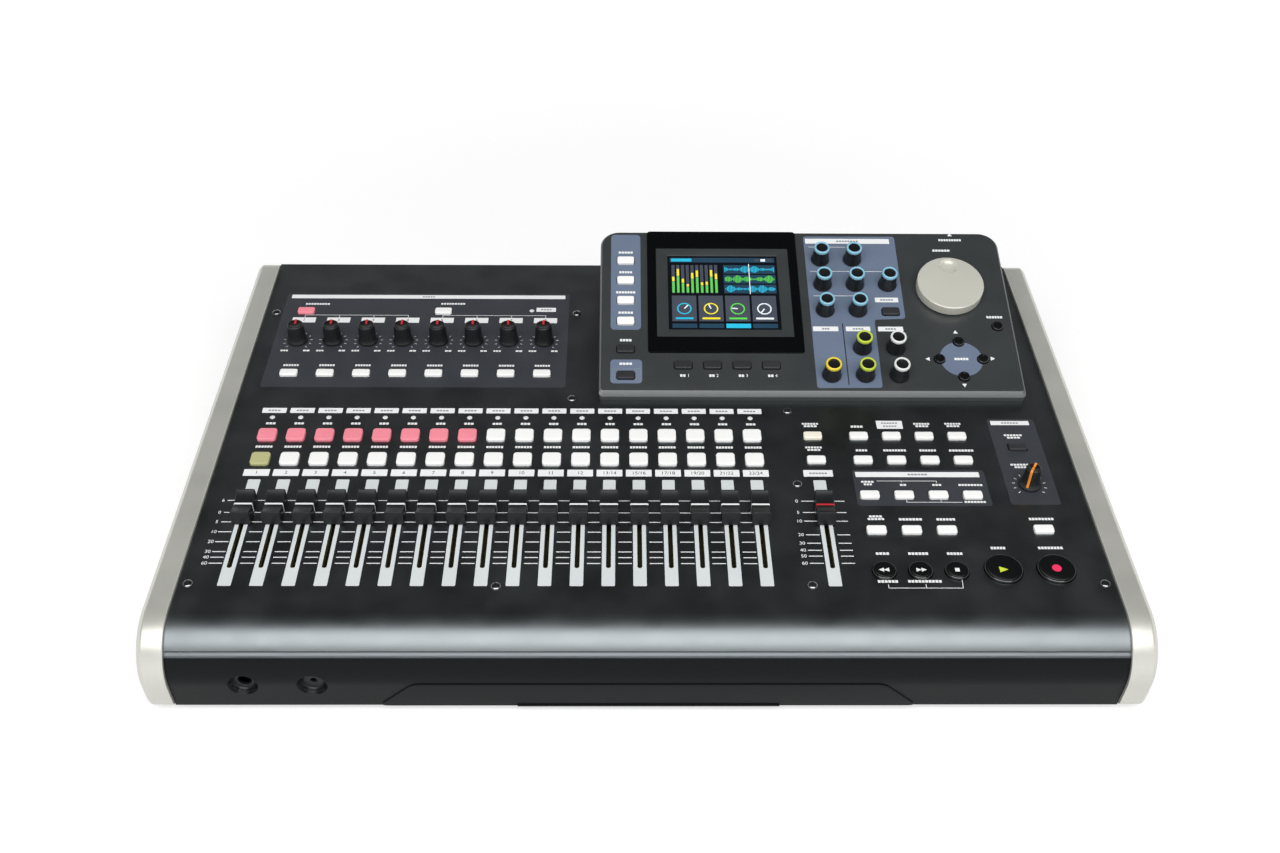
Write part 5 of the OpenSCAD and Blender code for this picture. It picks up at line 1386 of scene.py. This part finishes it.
FLOOR_HALF = 4.0
GLOW_NEAR, GLOW_FAR, GLOW_FIRST, GLOW_LAST = 0.3, 1.3, 0.55, 1.0
floor_mesh = bpy.data.meshes.new("studio_floor")
floor_corners = [(FLOOR_HALF * a, FLOOR_HALF * b, 0) for a, b in ((-1, -1), (1, -1), (1, 1), (-1, 1))]
floor_mesh.from_pydata(floor_corners, [], [(0, 1, 2, 3)])
floor = bpy.data.objects.new("studio_floor", floor_mesh)
bpy.context.scene.collection.objects.link(floor)
paper = finish("floor_paper", (190, 190, 190), 0.9, gloss=0.05, mottle=0.004, grain=0.04, grain_size=400.0)
floor_mesh.materials.append(paper)
nodes, links = paper.node_tree.nodes, paper.node_tree.links
plain = nodes["Principled BSDF"].outputs[0]
place = nodes.new("ShaderNodeTexCoord")
reach = nodes.new("ShaderNodeVectorMath")
reach.operation = "LENGTH"
links.new(place.outputs["Object"], reach.inputs[0])
distance = reach.outputs["Value"]
white = nodes.new("ShaderNodeEmission")
both = nodes.new("ShaderNodeAddShader")
pick = nodes.new("ShaderNodeMixShader")
links.new(ramp(nodes, links, distance, GLOW_NEAR, GLOW_FAR, GLOW_FIRST, GLOW_LAST), white.inputs["Strength"])
links.new(plain, both.inputs[0])
links.new(white.outputs[0], both.inputs[1])
links.new(seen(nodes, links), pick.inputs[0])
links.new(plain, pick.inputs[1])
links.new(both.outputs[0], pick.inputs[2])
links.new(pick.outputs[0], nodes["Material Output"].inputs["Surface"])
print("floor", 2 * FLOOR_HALF, "m wide")

# %% [markdown]
# One long soft box hangs in front of the object and above it, and a little light comes from all round.
# To the camera, to gloss and to glass the walls are white and the ceiling is dark, as in a real studio:
# the flat panel mirrors the ceiling and stays black, and its nose mirrors the soft box.

# %% Light
BOX_AT, BOX_AIM, BOX_W, BOX_H, BOX_POWER = (0.0, -0.99, 1.345), (0.0, -0.1, 0.04), 2.2, 1.1, 33.0
FILL_STRENGTH, WALL_STRENGTH, CEILING_STRENGTH = 0.3, 1.0, 0.04
WALL_END, CEILING_START = 0.25, 0.55
WHITE = (1.0, 1.0, 1.0, 1.0)


def soft_box(name, place, target, width, height, power):
    """A rectangular lamp that faces its target."""
    lamp = bpy.data.lights.new(name, "AREA")
    lamp.shape = "RECTANGLE"
    lamp.size, lamp.size_y = width, height
    lamp.energy = power
    holder = bpy.data.objects.new(name, lamp)
    bpy.context.scene.collection.objects.link(holder)
    holder.location = place
    holder.rotation_euler = (Vector(target) - Vector(place)).to_track_quat("-Z", "Y").to_euler()


soft_box("front_box", BOX_AT, BOX_AIM, BOX_W, BOX_H, BOX_POWER)

world = bpy.data.worlds.new("studio_world")
bpy.context.scene.world = world
world.use_nodes = True
nodes, links = world.node_tree.nodes, world.node_tree.links
nodes.clear()
way = nodes.new("ShaderNodeTexCoord")
height = nodes.new("ShaderNodeSeparateXYZ")
fill = nodes.new("ShaderNodeBackground")
wall = nodes.new("ShaderNodeBackground")
pick = nodes.new("ShaderNodeMixShader")
result = nodes.new("ShaderNodeOutputWorld")
fill.inputs["Color"].default_value = WHITE
wall.inputs["Color"].default_value = WHITE
fill.inputs["Strength"].default_value = FILL_STRENGTH
links.new(way.outputs["Generated"], height.inputs[0])
rise = ramp(nodes, links, height.outputs["Z"], WALL_END, CEILING_START, WALL_STRENGTH, CEILING_STRENGTH)
links.new(rise, wall.inputs["Strength"])
links.new(seen(nodes, links), pick.inputs[0])
links.new(fill.outputs[0], pick.inputs[1])
links.new(wall.outputs[0], pick.inputs[2])
links.new(pick.outputs[0], result.inputs["Surface"])
bpy.context.scene.view_settings.view_transform = "Standard"
print("studio ready")
